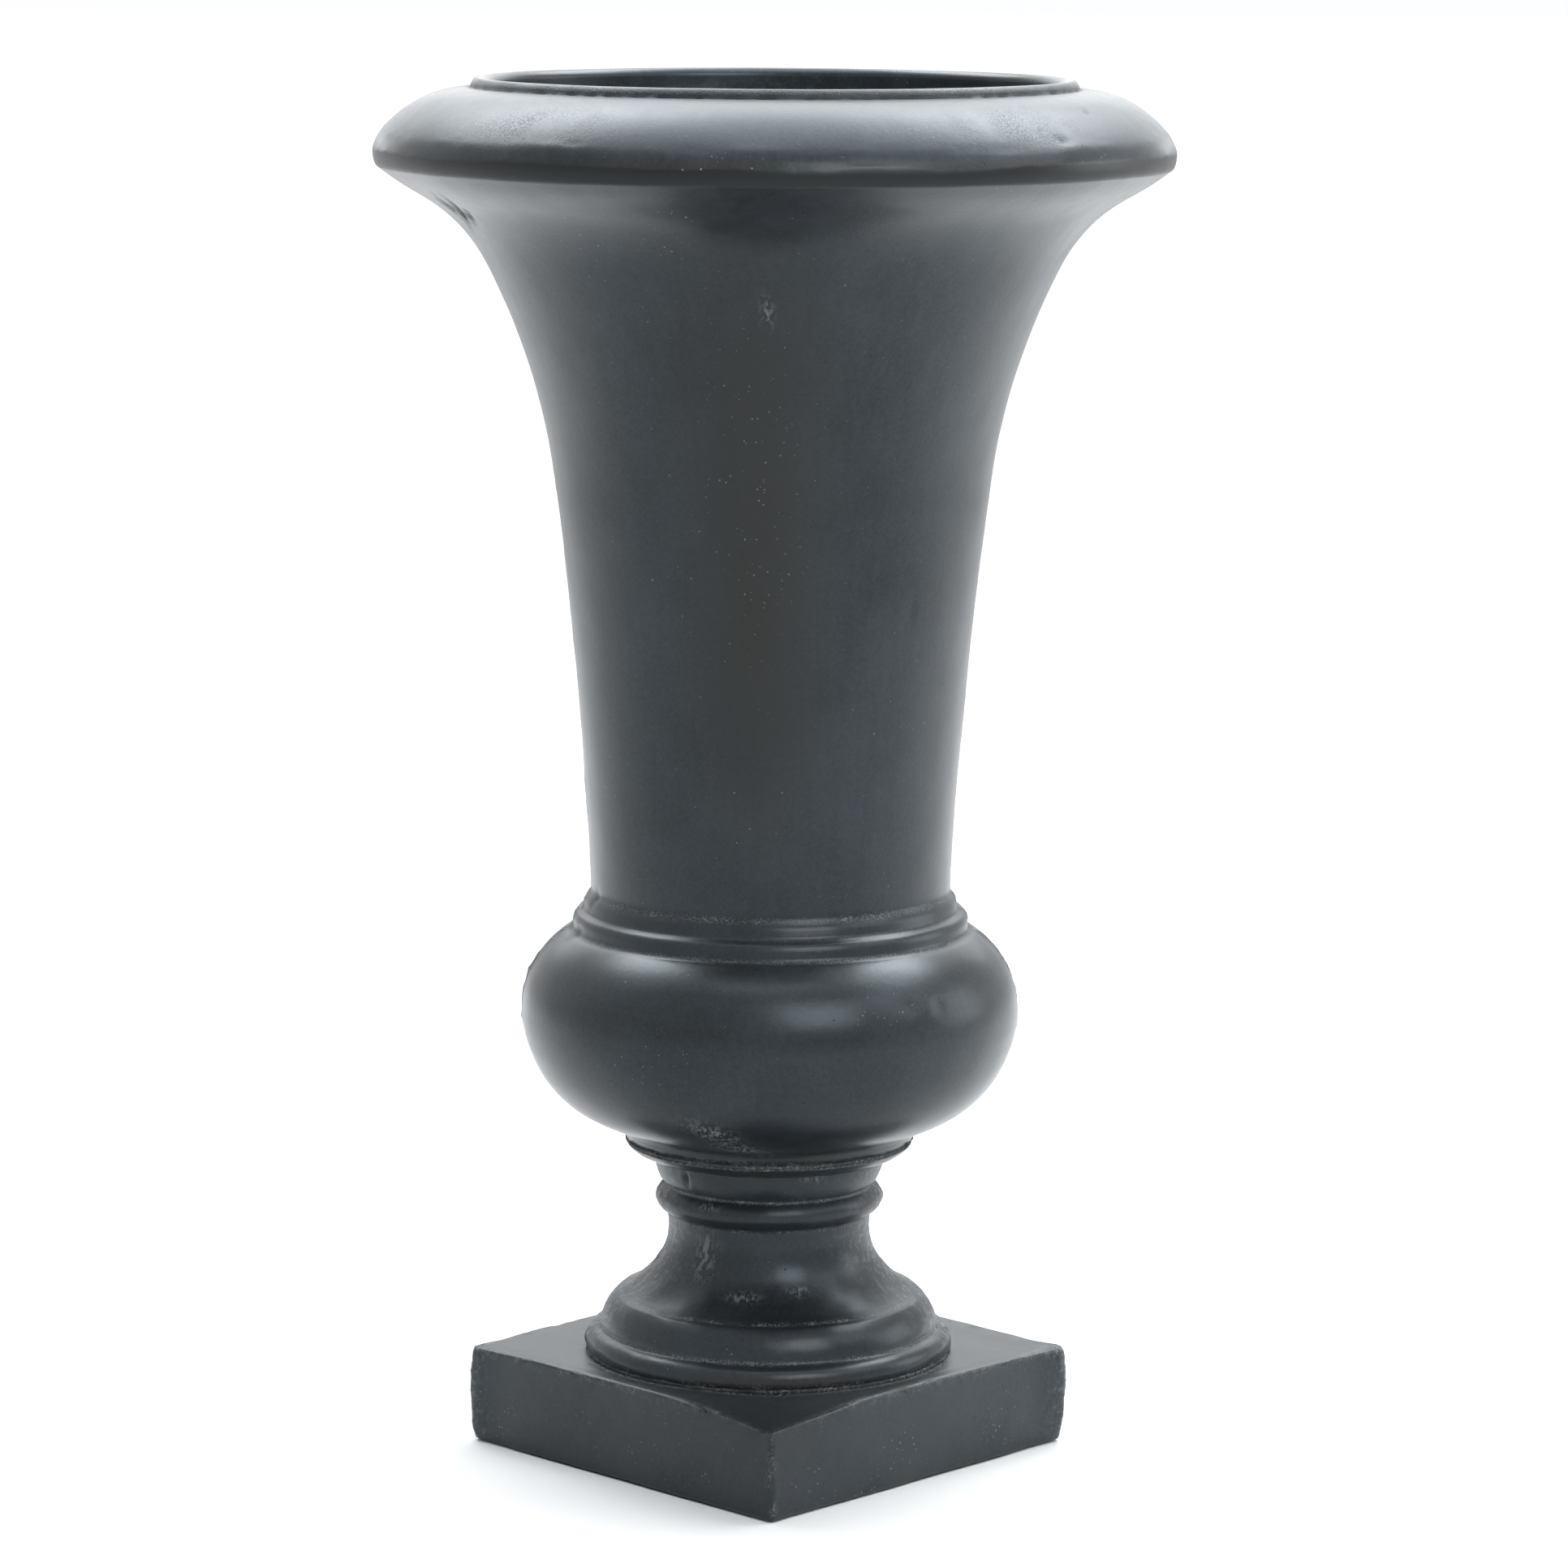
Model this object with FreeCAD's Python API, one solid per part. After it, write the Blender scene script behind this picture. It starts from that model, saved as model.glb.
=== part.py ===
import FreeCAD, Part
import math
import os

# A sectional garden urn in cast fibre clay: a bowl with a rolled rim, on a turned
# pedestal, on a square plinth.  One tie rod down the middle clamps the three castings.
# Millimetres.  +Z is up, the plinth's sides lie along X and Y, and the origin is the
# centre of the footprint at floor level.

# ------------------------------------------------------------------ driving dimensions

# Castings in general
bowl_wall = 13.0               # skin of the bowl, which follows its outside
bed_thickness = 2.0            # filler between two castings
bed_setback = 1.0              # filler stops this far inside the visible edge
register_clearance = 1.0       # all round, between an upstand and what fits over it

# Pads under the plinth
pad_radius = 12.0
pad_thickness = 1.5
pad_inset = 16.0               # pad centre from each of the two nearest sides

# Plinth
plinth_side = 216.0
plinth_height = 48.5
plinth_corner_radius = 5.0     # upright edges
plinth_edge_radius = 2.0       # top and bottom edges
plinth_hole_radius = 26.0
plinth_upstand_wall = 7.0      # ring that stands up into the pedestal's core hole
plinth_upstand_height = 8.0
anchor_slot_length = 130.0     # slot in the underside, for the anchor bar and its nut
anchor_slot_width = 36.0
anchor_slot_depth = 32.0

# Pedestal, from the bottom up.  A bow is how far an arc stands out from its chord.
foot_torus_radius = 94.0
foot_torus_height = 11.0
foot_torus_bow = 3.0
upper_torus_radius = 86.7
upper_torus_height = 17.5
upper_torus_bow = 2.2
upper_torus_top_radius = 76.7
step_width = 3.4
step_height = 1.3
cavetto_height = 17.0
cavetto_bow = -1.3
cavetto_top_radius = 56.0
lower_neck_height = 24.2
lower_neck_bow = -2.3
lower_neck_radius = 52.0
bead_height = 15.0
bead_bow = 5.3
upper_neck_radius = 53.7
upper_neck_height = 15.5
upper_neck_bow = 1.4
upper_neck_top_radius = 58.3
flange_radius = 73.5
flange_height = 6.5
flange_bow = 2.5
pedestal_top_thickness = 14.0  # over the core hole
pedestal_boss_radius = 46.0
pedestal_boss_height = 8.0

# Bowl, from the bottom up
bowl_foot_height = 6.5
bowl_foot_spread = 2.0         # foot is this much wider at its top than the flange
bowl_floor_thickness = 16.0    # over the recess for the pedestal's boss
bowl_floor_radius = 84.0
bowl_floor_corner_bow = 6.0
belly_lower_height = 54.5
belly_lower_bow = 12.4
belly_radius = 126.5
belly_upper_height = 47.5
belly_upper_bow = 7.9
belly_top_radius = 102.0
collar_groove_depth = 1.6
lower_ring_height = 9.5
lower_ring_bow = 1.4
lower_ring_top_radius = 98.0
upper_ring_radius = 94.8
upper_ring_height = 9.0
upper_ring_bow = 1.2
flare_radius = 91.2
flare_lead_height = 2.0        # short step from the upper ring to the flare
flare_lower_height = 197.5
flare_lower_bow = -2.0
flare_middle_radius = 108.5
flare_upper_height = 126.0
flare_upper_bow = -6.6
flare_high_radius = 145.6
flare_mouth_height = 42.0
flare_mouth_bow = -5.4
roll_radius = 197.0
roll_band_height = 16.7
roll_band_bow = 4.0
roll_shoulder_radius = 196.0
roll_top_height = 22.0
roll_top_bow = 5.6
roll_skin = 17.0               # the skin is thicker where it turns back
roll_pocket_bow = 4.0
lip_base_radius = 152.0
lip_height = 4.8
lip_inner_radius = 144.5
lip_width = 6.8
lip_round = 2.8                # height of the lip's rounded crown

# Tie rod and its hardware: twelve millimetre thread
rod_radius = 6.0
rod_end_chamfer = 1.0
rod_hole_clearance = 1.0       # rod in the castings
washer_clearance = 0.4         # rod in washers and the anchor bar
thread_clearance = 0.05        # rod in its nuts
rod_above_nuts = 5.0           # how far the rod's ends stand out of the outer nuts
rod_below_nut = 3.0
nut_across_flats = 19.0
nut_height = 10.0
jam_nut_height = 6.0
nut_chamfer = 1.0
seal_washer_radius = 14.0
seal_washer_thickness = 3.0
plate_washer_radius = 14.0
plate_washer_thickness = 3.0
anchor_washer_radius = 12.0
anchor_washer_thickness = 2.5
anchor_bar_length = 120.0
anchor_bar_width = 30.0
anchor_bar_thickness = 6.0
anchor_bar_corner_radius = 4.0

# Drain sleeves through the joint of bowl and pedestal
sleeve_count = 3
sleeve_circle_radius = 25.0
sleeve_first_angle = 30.0
sleeve_radius = 7.0
sleeve_wall = 1.5
sleeve_head_radius = 10.0
sleeve_head_thickness = 2.0
sleeve_clearance = 0.3
sleeve_below_ceiling = 3.0

# ------------------------------------------------------------------ heights worked out

plinth_bottom = pad_thickness
plinth_top = plinth_bottom + plinth_height
anchor_slot_ceiling = plinth_bottom + anchor_slot_depth
upstand_radius = plinth_hole_radius + plinth_upstand_wall
upstand_top = plinth_top + plinth_upstand_height
pedestal_core_radius = upstand_radius + register_clearance
pedestal_bottom = plinth_top + bed_thickness
upper_torus_bottom = pedestal_bottom + foot_torus_height
upper_torus_top = upper_torus_bottom + upper_torus_height
cavetto_bottom = upper_torus_top + step_height
cavetto_top = cavetto_bottom + cavetto_height
bead_bottom = cavetto_top + lower_neck_height
bead_top = bead_bottom + bead_height
flange_bottom = bead_top + upper_neck_height
pedestal_top = flange_bottom + flange_height
pedestal_ceiling = pedestal_top - pedestal_top_thickness
boss_top = pedestal_top + pedestal_boss_height
bowl_bottom = pedestal_top + bed_thickness
recess_ceiling = boss_top + register_clearance
bowl_floor = recess_ceiling + bowl_floor_thickness
sleeve_head_seat = bowl_floor - sleeve_head_thickness
belly_bottom = bowl_bottom + bowl_foot_height
belly_middle = belly_bottom + belly_lower_height
belly_top = belly_middle + belly_upper_height
lower_ring_top = belly_top + lower_ring_height
upper_ring_top = lower_ring_top + upper_ring_height
flare_bottom = upper_ring_top + flare_lead_height
flare_middle = flare_bottom + flare_lower_height
flare_high = flare_middle + flare_upper_height
roll_bottom = flare_high + flare_mouth_height
roll_shoulder = roll_bottom + roll_band_height
lip_base = roll_shoulder + roll_top_height
lip_crown = lip_base + lip_height

rod_hole_radius = rod_radius + rod_hole_clearance
sleeve_hole_radius = sleeve_radius + sleeve_clearance
seal_washer_top = bowl_floor + seal_washer_thickness
plate_washer_top = seal_washer_top + plate_washer_thickness
top_nut_top = plate_washer_top + nut_height
jam_nut_top = top_nut_top + jam_nut_height
rod_top = jam_nut_top + rod_above_nuts
anchor_bar_bottom = anchor_slot_ceiling - anchor_bar_thickness
anchor_washer_bottom = anchor_bar_bottom - anchor_washer_thickness
anchor_nut_bottom = anchor_washer_bottom - nut_height
rod_bottom = anchor_nut_bottom - rod_below_nut


# ------------------------------------------------------------------ outlines and solids

def at(radius, height):
    """A point of an outline, in the plane that is turned about the axis."""
    return FreeCAD.Vector(radius, 0, height)


def middle_of_bow(start, end, bow):
    """The middle of an arc that stands bow to the right of the way from start to end."""
    way = end - start
    right = FreeCAD.Vector(way.z, 0, -way.x)
    return (start + end) * 0.5 + right.normalize() * bow


def outline_edges(stations):
    """Edges through stations (radius, height, bow of the arc that leaves them)."""
    edges = []
    for here, there in zip(stations, stations[1:]):
        start, end = at(*here[:2]), at(*there[:2])
        if here[2]:
            edges.append(Part.Arc(start, middle_of_bow(start, end, here[2]), end).toShape())
        else:
            edges.append(Part.LineSegment(start, end).toShape())
    return edges


def turned(stations):
    """The solid that a closed outline sweeps in one turn about the axis."""
    face = Part.Face(Part.Wire(outline_edges(stations + stations[:1])))
    return face.revolve(FreeCAD.Vector(0, 0, 0), FreeCAD.Vector(0, 0, 1), 360)


def reversed_outline(stations):
    """The same outline run the other way: each arc keeps its side of the chord."""
    ends = [station[:2] for station in reversed(stations)]
    bows = [-station[2] for station in reversed(stations[:-1])] + [0]
    return [(*end, bow) for end, bow in zip(ends, bows)]


def moved_in(stations, skin):
    """An outline one skin further in: points go square to it, arcs stay concentric."""
    normals = []
    for here, there in zip(stations, stations[1:]):
        way = at(*there[:2]) - at(*here[:2])
        normals.append(FreeCAD.Vector(-way.z, 0, way.x).normalize())
    inner = []
    for number, (radius, height, bow) in enumerate(stations):
        before = normals[max(number - 1, 0)]
        after = normals[min(number, len(normals) - 1)]
        square = (before + after).normalize()
        point = at(radius, height) + square * (skin / square.dot(after))
        if bow:
            half_chord = (at(*stations[number + 1][:2]) - at(radius, height)).Length / 2
            arc_radius = (half_chord ** 2 + bow ** 2) / (2 * bow)
            bow = bow * (1 - skin / arc_radius)
        inner.append((point.x, point.z, bow))
    return inner


def rod_shape(radius, bottom, top, x=0.0, y=0.0):
    """A plain upright cylinder."""
    return Part.makeCylinder(radius, top - bottom, FreeCAD.Vector(x, y, bottom))


def ring_shape(outer, inner, bottom, top):
    """A flat ring about the axis."""
    return rod_shape(outer, bottom, top).cut(rod_shape(inner, bottom, top))


def on_circle(radius, count, first_angle):
    """Evenly spaced points on a circle about the axis."""
    for number in range(count):
        angle = math.radians(first_angle + 360.0 * number / count)
        yield radius * math.cos(angle), radius * math.sin(angle)


def square_block(side, bottom, top, corner_radius):
    """An upright square block with round upright edges."""
    block = Part.makeBox(side, side, top - bottom, FreeCAD.Vector(-side / 2, -side / 2, bottom))
    upright = [edge for edge in block.Edges if abs(edge.tangentAt(edge.FirstParameter).z) > 0.9]
    return block.makeFillet(corner_radius, upright)


def hex_nut(bottom, height):
    """A hexagon nut on the rod, its corners turned off at both ends."""
    corner_radius = nut_across_flats / math.sqrt(3)
    corners = [FreeCAD.Vector(x, y, bottom) for x, y in on_circle(corner_radius, 6, 0.0)]
    prism = Part.Face(Part.makePolygon(corners + corners[:1]))
    prism = prism.extrude(FreeCAD.Vector(0, 0, height))
    end_radius = nut_across_flats / 2
    rise = min(nut_chamfer, height / 4)
    lathe = turned([(0, bottom, 0), (end_radius, bottom, 0), (corner_radius, bottom + rise, 0),
                    (corner_radius, bottom + height - rise, 0), (end_radius, bottom + height, 0),
                    (0, bottom + height, 0)])
    return prism.common(lathe).cut(
        rod_shape(rod_radius + thread_clearance, bottom, bottom + height))


# ------------------------------------------------------------------ castings

def sleeve_places():
    return on_circle(sleeve_circle_radius, sleeve_count, sleeve_first_angle)


def bowl():
    """The urn's body: one hollow casting from its foot to the rolled rim."""
    belly = [(flange_radius + bowl_foot_spread, belly_bottom, belly_lower_bow),
             (belly_radius, belly_middle, belly_upper_bow), (belly_top_radius, belly_top, 0)]
    collar = [(belly_top_radius - collar_groove_depth, belly_top, lower_ring_bow),
              (lower_ring_top_radius, lower_ring_top, 0),
              (upper_ring_radius, lower_ring_top, upper_ring_bow),
              (flare_radius + collar_groove_depth / 2, upper_ring_top, 0)]
    flare = [(flare_radius, flare_bottom, flare_lower_bow),
             (flare_middle_radius, flare_middle, flare_upper_bow),
             (flare_high_radius, flare_high, flare_mouth_bow)]
    roll = [(roll_radius, roll_bottom, roll_band_bow),
            (roll_shoulder_radius, roll_shoulder, roll_top_bow)]
    lip = [(lip_base_radius, lip_base, 0),
           (lip_inner_radius + lip_width, lip_crown - lip_round, lip_round),
           (lip_inner_radius, lip_crown - lip_round, 0)]
    outside = [(flange_radius, bowl_bottom, 0)] + belly + collar + flare + roll + lip

    belly_inside = moved_in(belly[1:], bowl_wall)
    flare_inside = moved_in(flare + [(roll_radius, roll_bottom, 0)], bowl_wall)
    pocket = [(roll_radius - roll_skin, (roll_bottom + roll_shoulder) / 2, roll_pocket_bow),
              (lip_inner_radius, lip_base - bowl_wall, 0)]
    inside = [(0, bowl_floor, 0), (bowl_floor_radius, bowl_floor, bowl_floor_corner_bow)]
    inside += belly_inside + flare_inside[:-1] + pocket

    recess_radius = pedestal_boss_radius + register_clearance
    underside = [(0, recess_ceiling, 0), (recess_radius, recess_ceiling, 0),
                 (recess_radius, bowl_bottom, 0)]
    body = turned(underside + outside + reversed_outline(inside))
    body = body.cut(rod_shape(rod_hole_radius, recess_ceiling, bowl_floor))
    for x, y in sleeve_places():
        body = body.cut(rod_shape(sleeve_hole_radius, recess_ceiling, bowl_floor, x, y))
        body = body.cut(rod_shape(sleeve_head_radius + sleeve_clearance, sleeve_head_seat,
                                  bowl_floor, x, y))
    return body


def pedestal():
    """The turned foot: two tori, a cavetto, a beaded neck and a flange with a boss."""
    outside = [(foot_torus_radius, pedestal_bottom, foot_torus_bow),
               (upper_torus_radius, upper_torus_bottom, upper_torus_bow),
               (upper_torus_top_radius, upper_torus_top, 0),
               (upper_torus_top_radius - step_width, cavetto_bottom, cavetto_bow),
               (cavetto_top_radius, cavetto_top, lower_neck_bow),
               (lower_neck_radius, bead_bottom, bead_bow),
               (upper_neck_radius, bead_top, upper_neck_bow),
               (upper_neck_top_radius, flange_bottom, flange_bow),
               (flange_radius, pedestal_top, 0),
               (pedestal_boss_radius, pedestal_top, 0), (pedestal_boss_radius, boss_top, 0),
               (0, boss_top, 0)]
    core = [(0, pedestal_ceiling, 0), (pedestal_core_radius, pedestal_ceiling, 0),
            (pedestal_core_radius, pedestal_bottom, 0)]
    body = turned(outside + core)
    body = body.cut(rod_shape(rod_hole_radius, pedestal_ceiling, boss_top))
    for x, y in sleeve_places():
        body = body.cut(rod_shape(sleeve_hole_radius, pedestal_ceiling, boss_top, x, y))
    return body


def plinth():
    """The square base: an upstand centres the pedestal, a slot below takes the bar."""
    block = square_block(plinth_side, plinth_bottom, plinth_top, plinth_corner_radius)
    ends = [edge for edge in block.Edges
            if edge.BoundBox.ZLength < plinth_edge_radius / 10]
    block = block.makeFillet(plinth_edge_radius, ends)
    block = block.fuse(rod_shape(upstand_radius, plinth_top - plinth_upstand_height,
                                 upstand_top)).removeSplitter()
    block = block.cut(rod_shape(plinth_hole_radius, plinth_bottom, upstand_top))
    slot = Part.makeBox(anchor_slot_length, anchor_slot_width, anchor_slot_depth,
                        FreeCAD.Vector(-anchor_slot_length / 2, -anchor_slot_width / 2,
                                       plinth_bottom))
    return block.cut(slot)


# ------------------------------------------------------------------ what joins them

def bowl_bed():
    """Filler between the pedestal's flange and the bowl, round the boss."""
    return ring_shape(flange_radius - bed_setback, pedestal_boss_radius + register_clearance,
                      pedestal_top, bowl_bottom)


def plinth_bed():
    """Filler between the plinth and the pedestal, round the upstand."""
    return ring_shape(foot_torus_radius - bed_setback, pedestal_core_radius, plinth_top,
                      pedestal_bottom)


def tie_rod():
    """Threaded rod that clamps plinth, pedestal and bowl, drawn at its thread's outside."""
    end_radius = rod_radius - rod_end_chamfer
    return turned([(0, rod_bottom, 0), (end_radius, rod_bottom, 0),
                   (rod_radius, rod_bottom + rod_end_chamfer, 0),
                   (rod_radius, rod_top - rod_end_chamfer, 0), (end_radius, rod_top, 0),
                   (0, rod_top, 0)])


def washer(radius, bottom, thickness):
    return ring_shape(radius, rod_radius + washer_clearance, bottom, bottom + thickness)


def anchor_bar():
    """Flat steel bar in the plinth's slot, across its hole, that the rod pulls up on."""
    bar = Part.makeBox(anchor_bar_length, anchor_bar_width, anchor_bar_thickness,
                       FreeCAD.Vector(-anchor_bar_length / 2, -anchor_bar_width / 2,
                                      anchor_bar_bottom))
    upright = [edge for edge in bar.Edges if abs(edge.tangentAt(edge.FirstParameter).z) > 0.9]
    bar = bar.makeFillet(anchor_bar_corner_radius, upright)
    return bar.cut(rod_shape(rod_radius + washer_clearance, anchor_bar_bottom,
                             anchor_slot_ceiling))


def drain_sleeve(x, y):
    """Tube with a flush head that carries water through the joint into the pedestal."""
    end = pedestal_ceiling - sleeve_below_ceiling
    sleeve = rod_shape(sleeve_radius, end, bowl_floor, x, y)
    sleeve = sleeve.fuse(rod_shape(sleeve_head_radius, sleeve_head_seat, bowl_floor, x, y))
    return sleeve.cut(rod_shape(sleeve_radius - sleeve_wall, end, bowl_floor, x, y))


def foot_pads():
    """Four round pads stuck under the plinth's corners."""
    reach = plinth_side / 2 - pad_inset
    for x, y in ((reach, -reach), (reach, reach), (-reach, reach), (-reach, -reach)):
        yield rod_shape(pad_radius, 0.0, pad_thickness, x, y)


# ------------------------------------------------------------------ the assembly

def pieces():
    """Every piece of the urn by name."""
    named = {
        "bowl": bowl(),
        "pedestal": pedestal(),
        "plinth": plinth(),
        "bowl_bed": bowl_bed(),
        "plinth_bed": plinth_bed(),
        "tie_rod": tie_rod(),
        "seal_washer": washer(seal_washer_radius, bowl_floor, seal_washer_thickness),
        "plate_washer": washer(plate_washer_radius, seal_washer_top, plate_washer_thickness),
        "top_nut": hex_nut(plate_washer_top, nut_height),
        "jam_nut": hex_nut(top_nut_top, jam_nut_height),
        "anchor_bar": anchor_bar(),
        "anchor_washer": washer(anchor_washer_radius, anchor_washer_bottom,
                                anchor_washer_thickness),
        "anchor_nut": hex_nut(anchor_nut_bottom, nut_height),
    }
    for number, (x, y) in enumerate(sleeve_places(), start=1):
        named["drain_sleeve_%d" % number] = drain_sleeve(x, y)
    for number, pad in enumerate(foot_pads(), start=1):
        named["foot_pad_%d" % number] = pad
    return named


os.makedirs("parts", exist_ok=True)
for name, shape in pieces().items():
    shape.exportStep("parts/%s.step" % name)
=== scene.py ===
"""Urn planter in waxed graphite clay: the finished look, built round its packed model.

Laid out as an add-on.  Each operator makes one piece or one group of like pieces, and
main() calls them in order.  Shapes are worked out in millimetres and stored in metres.
"""

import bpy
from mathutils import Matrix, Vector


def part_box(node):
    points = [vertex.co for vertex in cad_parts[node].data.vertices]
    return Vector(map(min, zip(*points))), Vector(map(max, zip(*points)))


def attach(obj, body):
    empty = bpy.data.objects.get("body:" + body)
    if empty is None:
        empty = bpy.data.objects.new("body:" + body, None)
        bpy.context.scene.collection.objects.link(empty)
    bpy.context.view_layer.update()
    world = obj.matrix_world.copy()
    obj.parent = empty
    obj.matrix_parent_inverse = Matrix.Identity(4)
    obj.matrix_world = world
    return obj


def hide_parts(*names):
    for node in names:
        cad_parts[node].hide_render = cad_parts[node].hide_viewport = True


bl_info = {
    "name": "Urn planter in waxed graphite clay",
    "version": (1, 0, 0),
    "blender": (4, 5, 0),
    "location": "3D View > Sidebar > Urn",
    "description": "Builds the finished surfaces of a sectional clay urn planter",
    "category": "Object",
}

import math

import bmesh
import bpy
import numpy as np
from bpy.props import FloatProperty, FloatVectorProperty, IntProperty, PointerProperty
from mathutils import Matrix, Vector

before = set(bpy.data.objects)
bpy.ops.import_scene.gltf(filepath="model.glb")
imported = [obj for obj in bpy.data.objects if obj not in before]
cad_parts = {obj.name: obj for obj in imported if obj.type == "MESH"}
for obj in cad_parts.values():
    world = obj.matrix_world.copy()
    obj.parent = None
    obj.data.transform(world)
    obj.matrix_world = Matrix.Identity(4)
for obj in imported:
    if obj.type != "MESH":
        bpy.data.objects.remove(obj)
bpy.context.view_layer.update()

MM = 0.001
FRONT = math.radians(-45.9)     # where the photograph was taken from, about +Z from +X
SEAM_ANGLES = (math.radians(45.0), math.radians(225.0))   # the mould's parting plane


def foot_of(node):
    """Height of a node's lowest point, in millimetres."""
    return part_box(node)[0].z / MM


def facing(degrees):
    """The angle about +Z that lies so many degrees right of the photograph's front."""
    return FRONT + math.radians(degrees)


# ---------------------------------------------------------------------- settings

# keywords that several properties share
LENGTH = {"unit": "LENGTH", "min": 0.0}
COLOUR = {"subtype": "COLOR", "size": 3, "min": 0.0, "max": 1.0}


class UrnCasting(bpy.types.PropertyGroup):
    """How the castings' surfaces come out of the mould."""
    softness: FloatProperty(
        name="Edge softness", description="Spread over which the moulded edges are rounded",
        default=0.5 * MM, **LENGTH)
    waviness: FloatProperty(
        name="Waviness", description="Height of the slow unevenness of a hand-finished skin",
        default=0.12 * MM, **LENGTH)
    seam_height: FloatProperty(
        name="Seam height", description="How far the trimmed flash stands out at the seams",
        default=0.7 * MM, **LENGTH)
    line_wobble: FloatProperty(
        name="Line wobble", description="How far the roll's two long edges stray up and down",
        default=0.8 * MM, **LENGTH)
    thread_pitch: FloatProperty(
        name="Thread pitch", description="Pitch of the tie rod's thread",
        default=1.75 * MM, min=0.0005, unit="LENGTH")
    bowl_columns: IntProperty(
        name="Bowl columns", description="Divisions of the bowl round its axis", default=352)
    pedestal_columns: IntProperty(
        name="Pedestal columns", description="Divisions of the pedestal round its axis",
        default=340)
    plinth_columns: IntProperty(
        name="Plinth columns", description="Divisions of the plinth round its sides",
        default=480)


class UrnFinish(bpy.types.PropertyGroup):
    """Colours of the urn's surfaces, as linear light."""
    clay: FloatVectorProperty(
        name="Clay", description="Waxed graphite clay", default=(0.0165, 0.0195, 0.0225),
        **COLOUR)
    umber: FloatVectorProperty(
        name="Umber", description="Warmer tone where the wax was laid on thick",
        default=(0.0150, 0.0130, 0.0100), **COLOUR)
    wax_tint: FloatVectorProperty(
        name="Wax tint", description="Tint of what the wax mirrors when seen straight on",
        default=(0.53, 0.60, 0.645), **COLOUR)
    wax_roughness: FloatProperty(
        name="Wax roughness", description="Roughness of the waxed surface",
        default=0.30, min=0.0, max=1.0)
    # pale grit in grooves and pits; on the plinth's top and along its top edges the same pale
    # colour is partly painted light
    residue_and_painted_light: FloatVectorProperty(
        name="Residue", description="Pale grit left in grooves and pits",
        default=(0.24, 0.25, 0.25), **COLOUR)
    # painted shade: grime is the dark colour of the shade under the roll's undercut edge and
    # at the plinth's front corner; round the lip it is dark wax and dirt with painted shade
    grime_and_painted_shade: FloatVectorProperty(
        name="Grime", description="Dark wax and dirt under the roll and round the lip",
        default=(0.0060, 0.0054, 0.0046), **COLOUR)
    raw_clay: FloatVectorProperty(
        name="Raw clay", description="Unwaxed clay inside the bowl and under the plinth",
        default=(0.060, 0.063, 0.065), **COLOUR)
    filler: FloatVectorProperty(
        name="Filler", description="Set filler between the castings",
        default=(0.030, 0.032, 0.033), **COLOUR)
    zinc: FloatVectorProperty(
        name="Zinc", description="Plating on the rod, nuts, washers and bar",
        default=(0.55, 0.56, 0.58), **COLOUR)
    rubber: FloatVectorProperty(
        name="Rubber", description="Pads and seal washer", default=(0.018, 0.018, 0.019),
        **COLOUR)
    plastic: FloatVectorProperty(
        name="Plastic", description="Drain sleeves", default=(0.035, 0.036, 0.038),
        **COLOUR)


class UrnStage(bpy.types.PropertyGroup):
    """The studio: camera, lamps and surroundings."""
    camera_distance: FloatProperty(
        name="Camera distance", description="From the axis, along the floor",
        default=2.8746, unit="LENGTH")
    camera_height: FloatProperty(
        name="Camera height", description="Above the floor", default=0.8027, unit="LENGTH")
    camera_offset: FloatProperty(
        name="Camera offset", description="To the right of the axis", default=0.0065,
        unit="LENGTH")
    camera_tilt: FloatProperty(
        name="Camera tilt", description="Downwards", default=math.radians(9.071),
        subtype="ANGLE")
    camera_roll: FloatProperty(
        name="Camera roll", description="Anticlockwise", default=math.radians(0.339),
        subtype="ANGLE")
    camera_view: FloatProperty(
        name="Camera view", description="Width of the square view",
        default=math.radians(15.578), subtype="ANGLE")
    floor_radius: FloatProperty(
        name="Floor radius", description="Radius of the round floor", default=30.0,
        unit="LENGTH")
    lamp_level: FloatProperty(
        name="Lamp level", description="Scales every lamp", default=1.0, min=0.0)
    back_light: FloatProperty(
        name="Back light", description="Light from the surroundings behind", default=0.7,
        min=0.0)
    front_light: FloatProperty(
        name="Front light", description="Light from the camera's side", default=0.30,
        min=0.0)
    far_glow: FloatProperty(
        name="Far glow", description="Own light of the floor far from the urn", default=0.75,
        min=0.0)
    floor_glow: FloatProperty(
        name="Floor glow", description="Own light of the floor by the urn", default=0.14,
        min=0.0)


def settings(name):
    return getattr(bpy.context.scene, "urn_" + name)


# ---------------------------------------------------------------------- outlines

def bowed_outline(stations, step=0.25):
    """Points about one step apart along a closed outline of (radius, height, bow).

    Each stretch is a straight line, or a parabola that stands bow off the middle of its
    chord, to the right of the way it runs: p = chord point + 4 bow t (1 - t) across.
    """
    stretches = []
    for here, there in zip(stations, stations[1:] + stations[:1]):
        start, end = np.array(here[:2]), np.array(there[:2])
        way = end - start
        length = np.hypot(*way)
        count = max(2, int(round(length / step)))
        t = (np.arange(count) / count)[:, None]
        across = np.array([way[1], -way[0]]) / length
        stretches.append(start + way * t + 4 * here[2] * t * (1 - t) * across)
    return np.concatenate(stretches)


def softened(points, spread):
    """A closed outline smoothed by a bell curve along it, which rounds its corners."""
    step = np.hypot(*(points - np.roll(points, 1, 0)).T).mean()
    reach = max(1, int(4 * spread / step))
    bell = np.exp(-0.5 * (np.arange(-reach, reach + 1) * step / spread) ** 2)
    bell /= bell.sum()
    padded = np.concatenate([points[-reach:], points, points[:reach]])
    return np.stack([np.convolve(padded[:, k], bell, "valid") for k in (0, 1)], 1)


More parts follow.
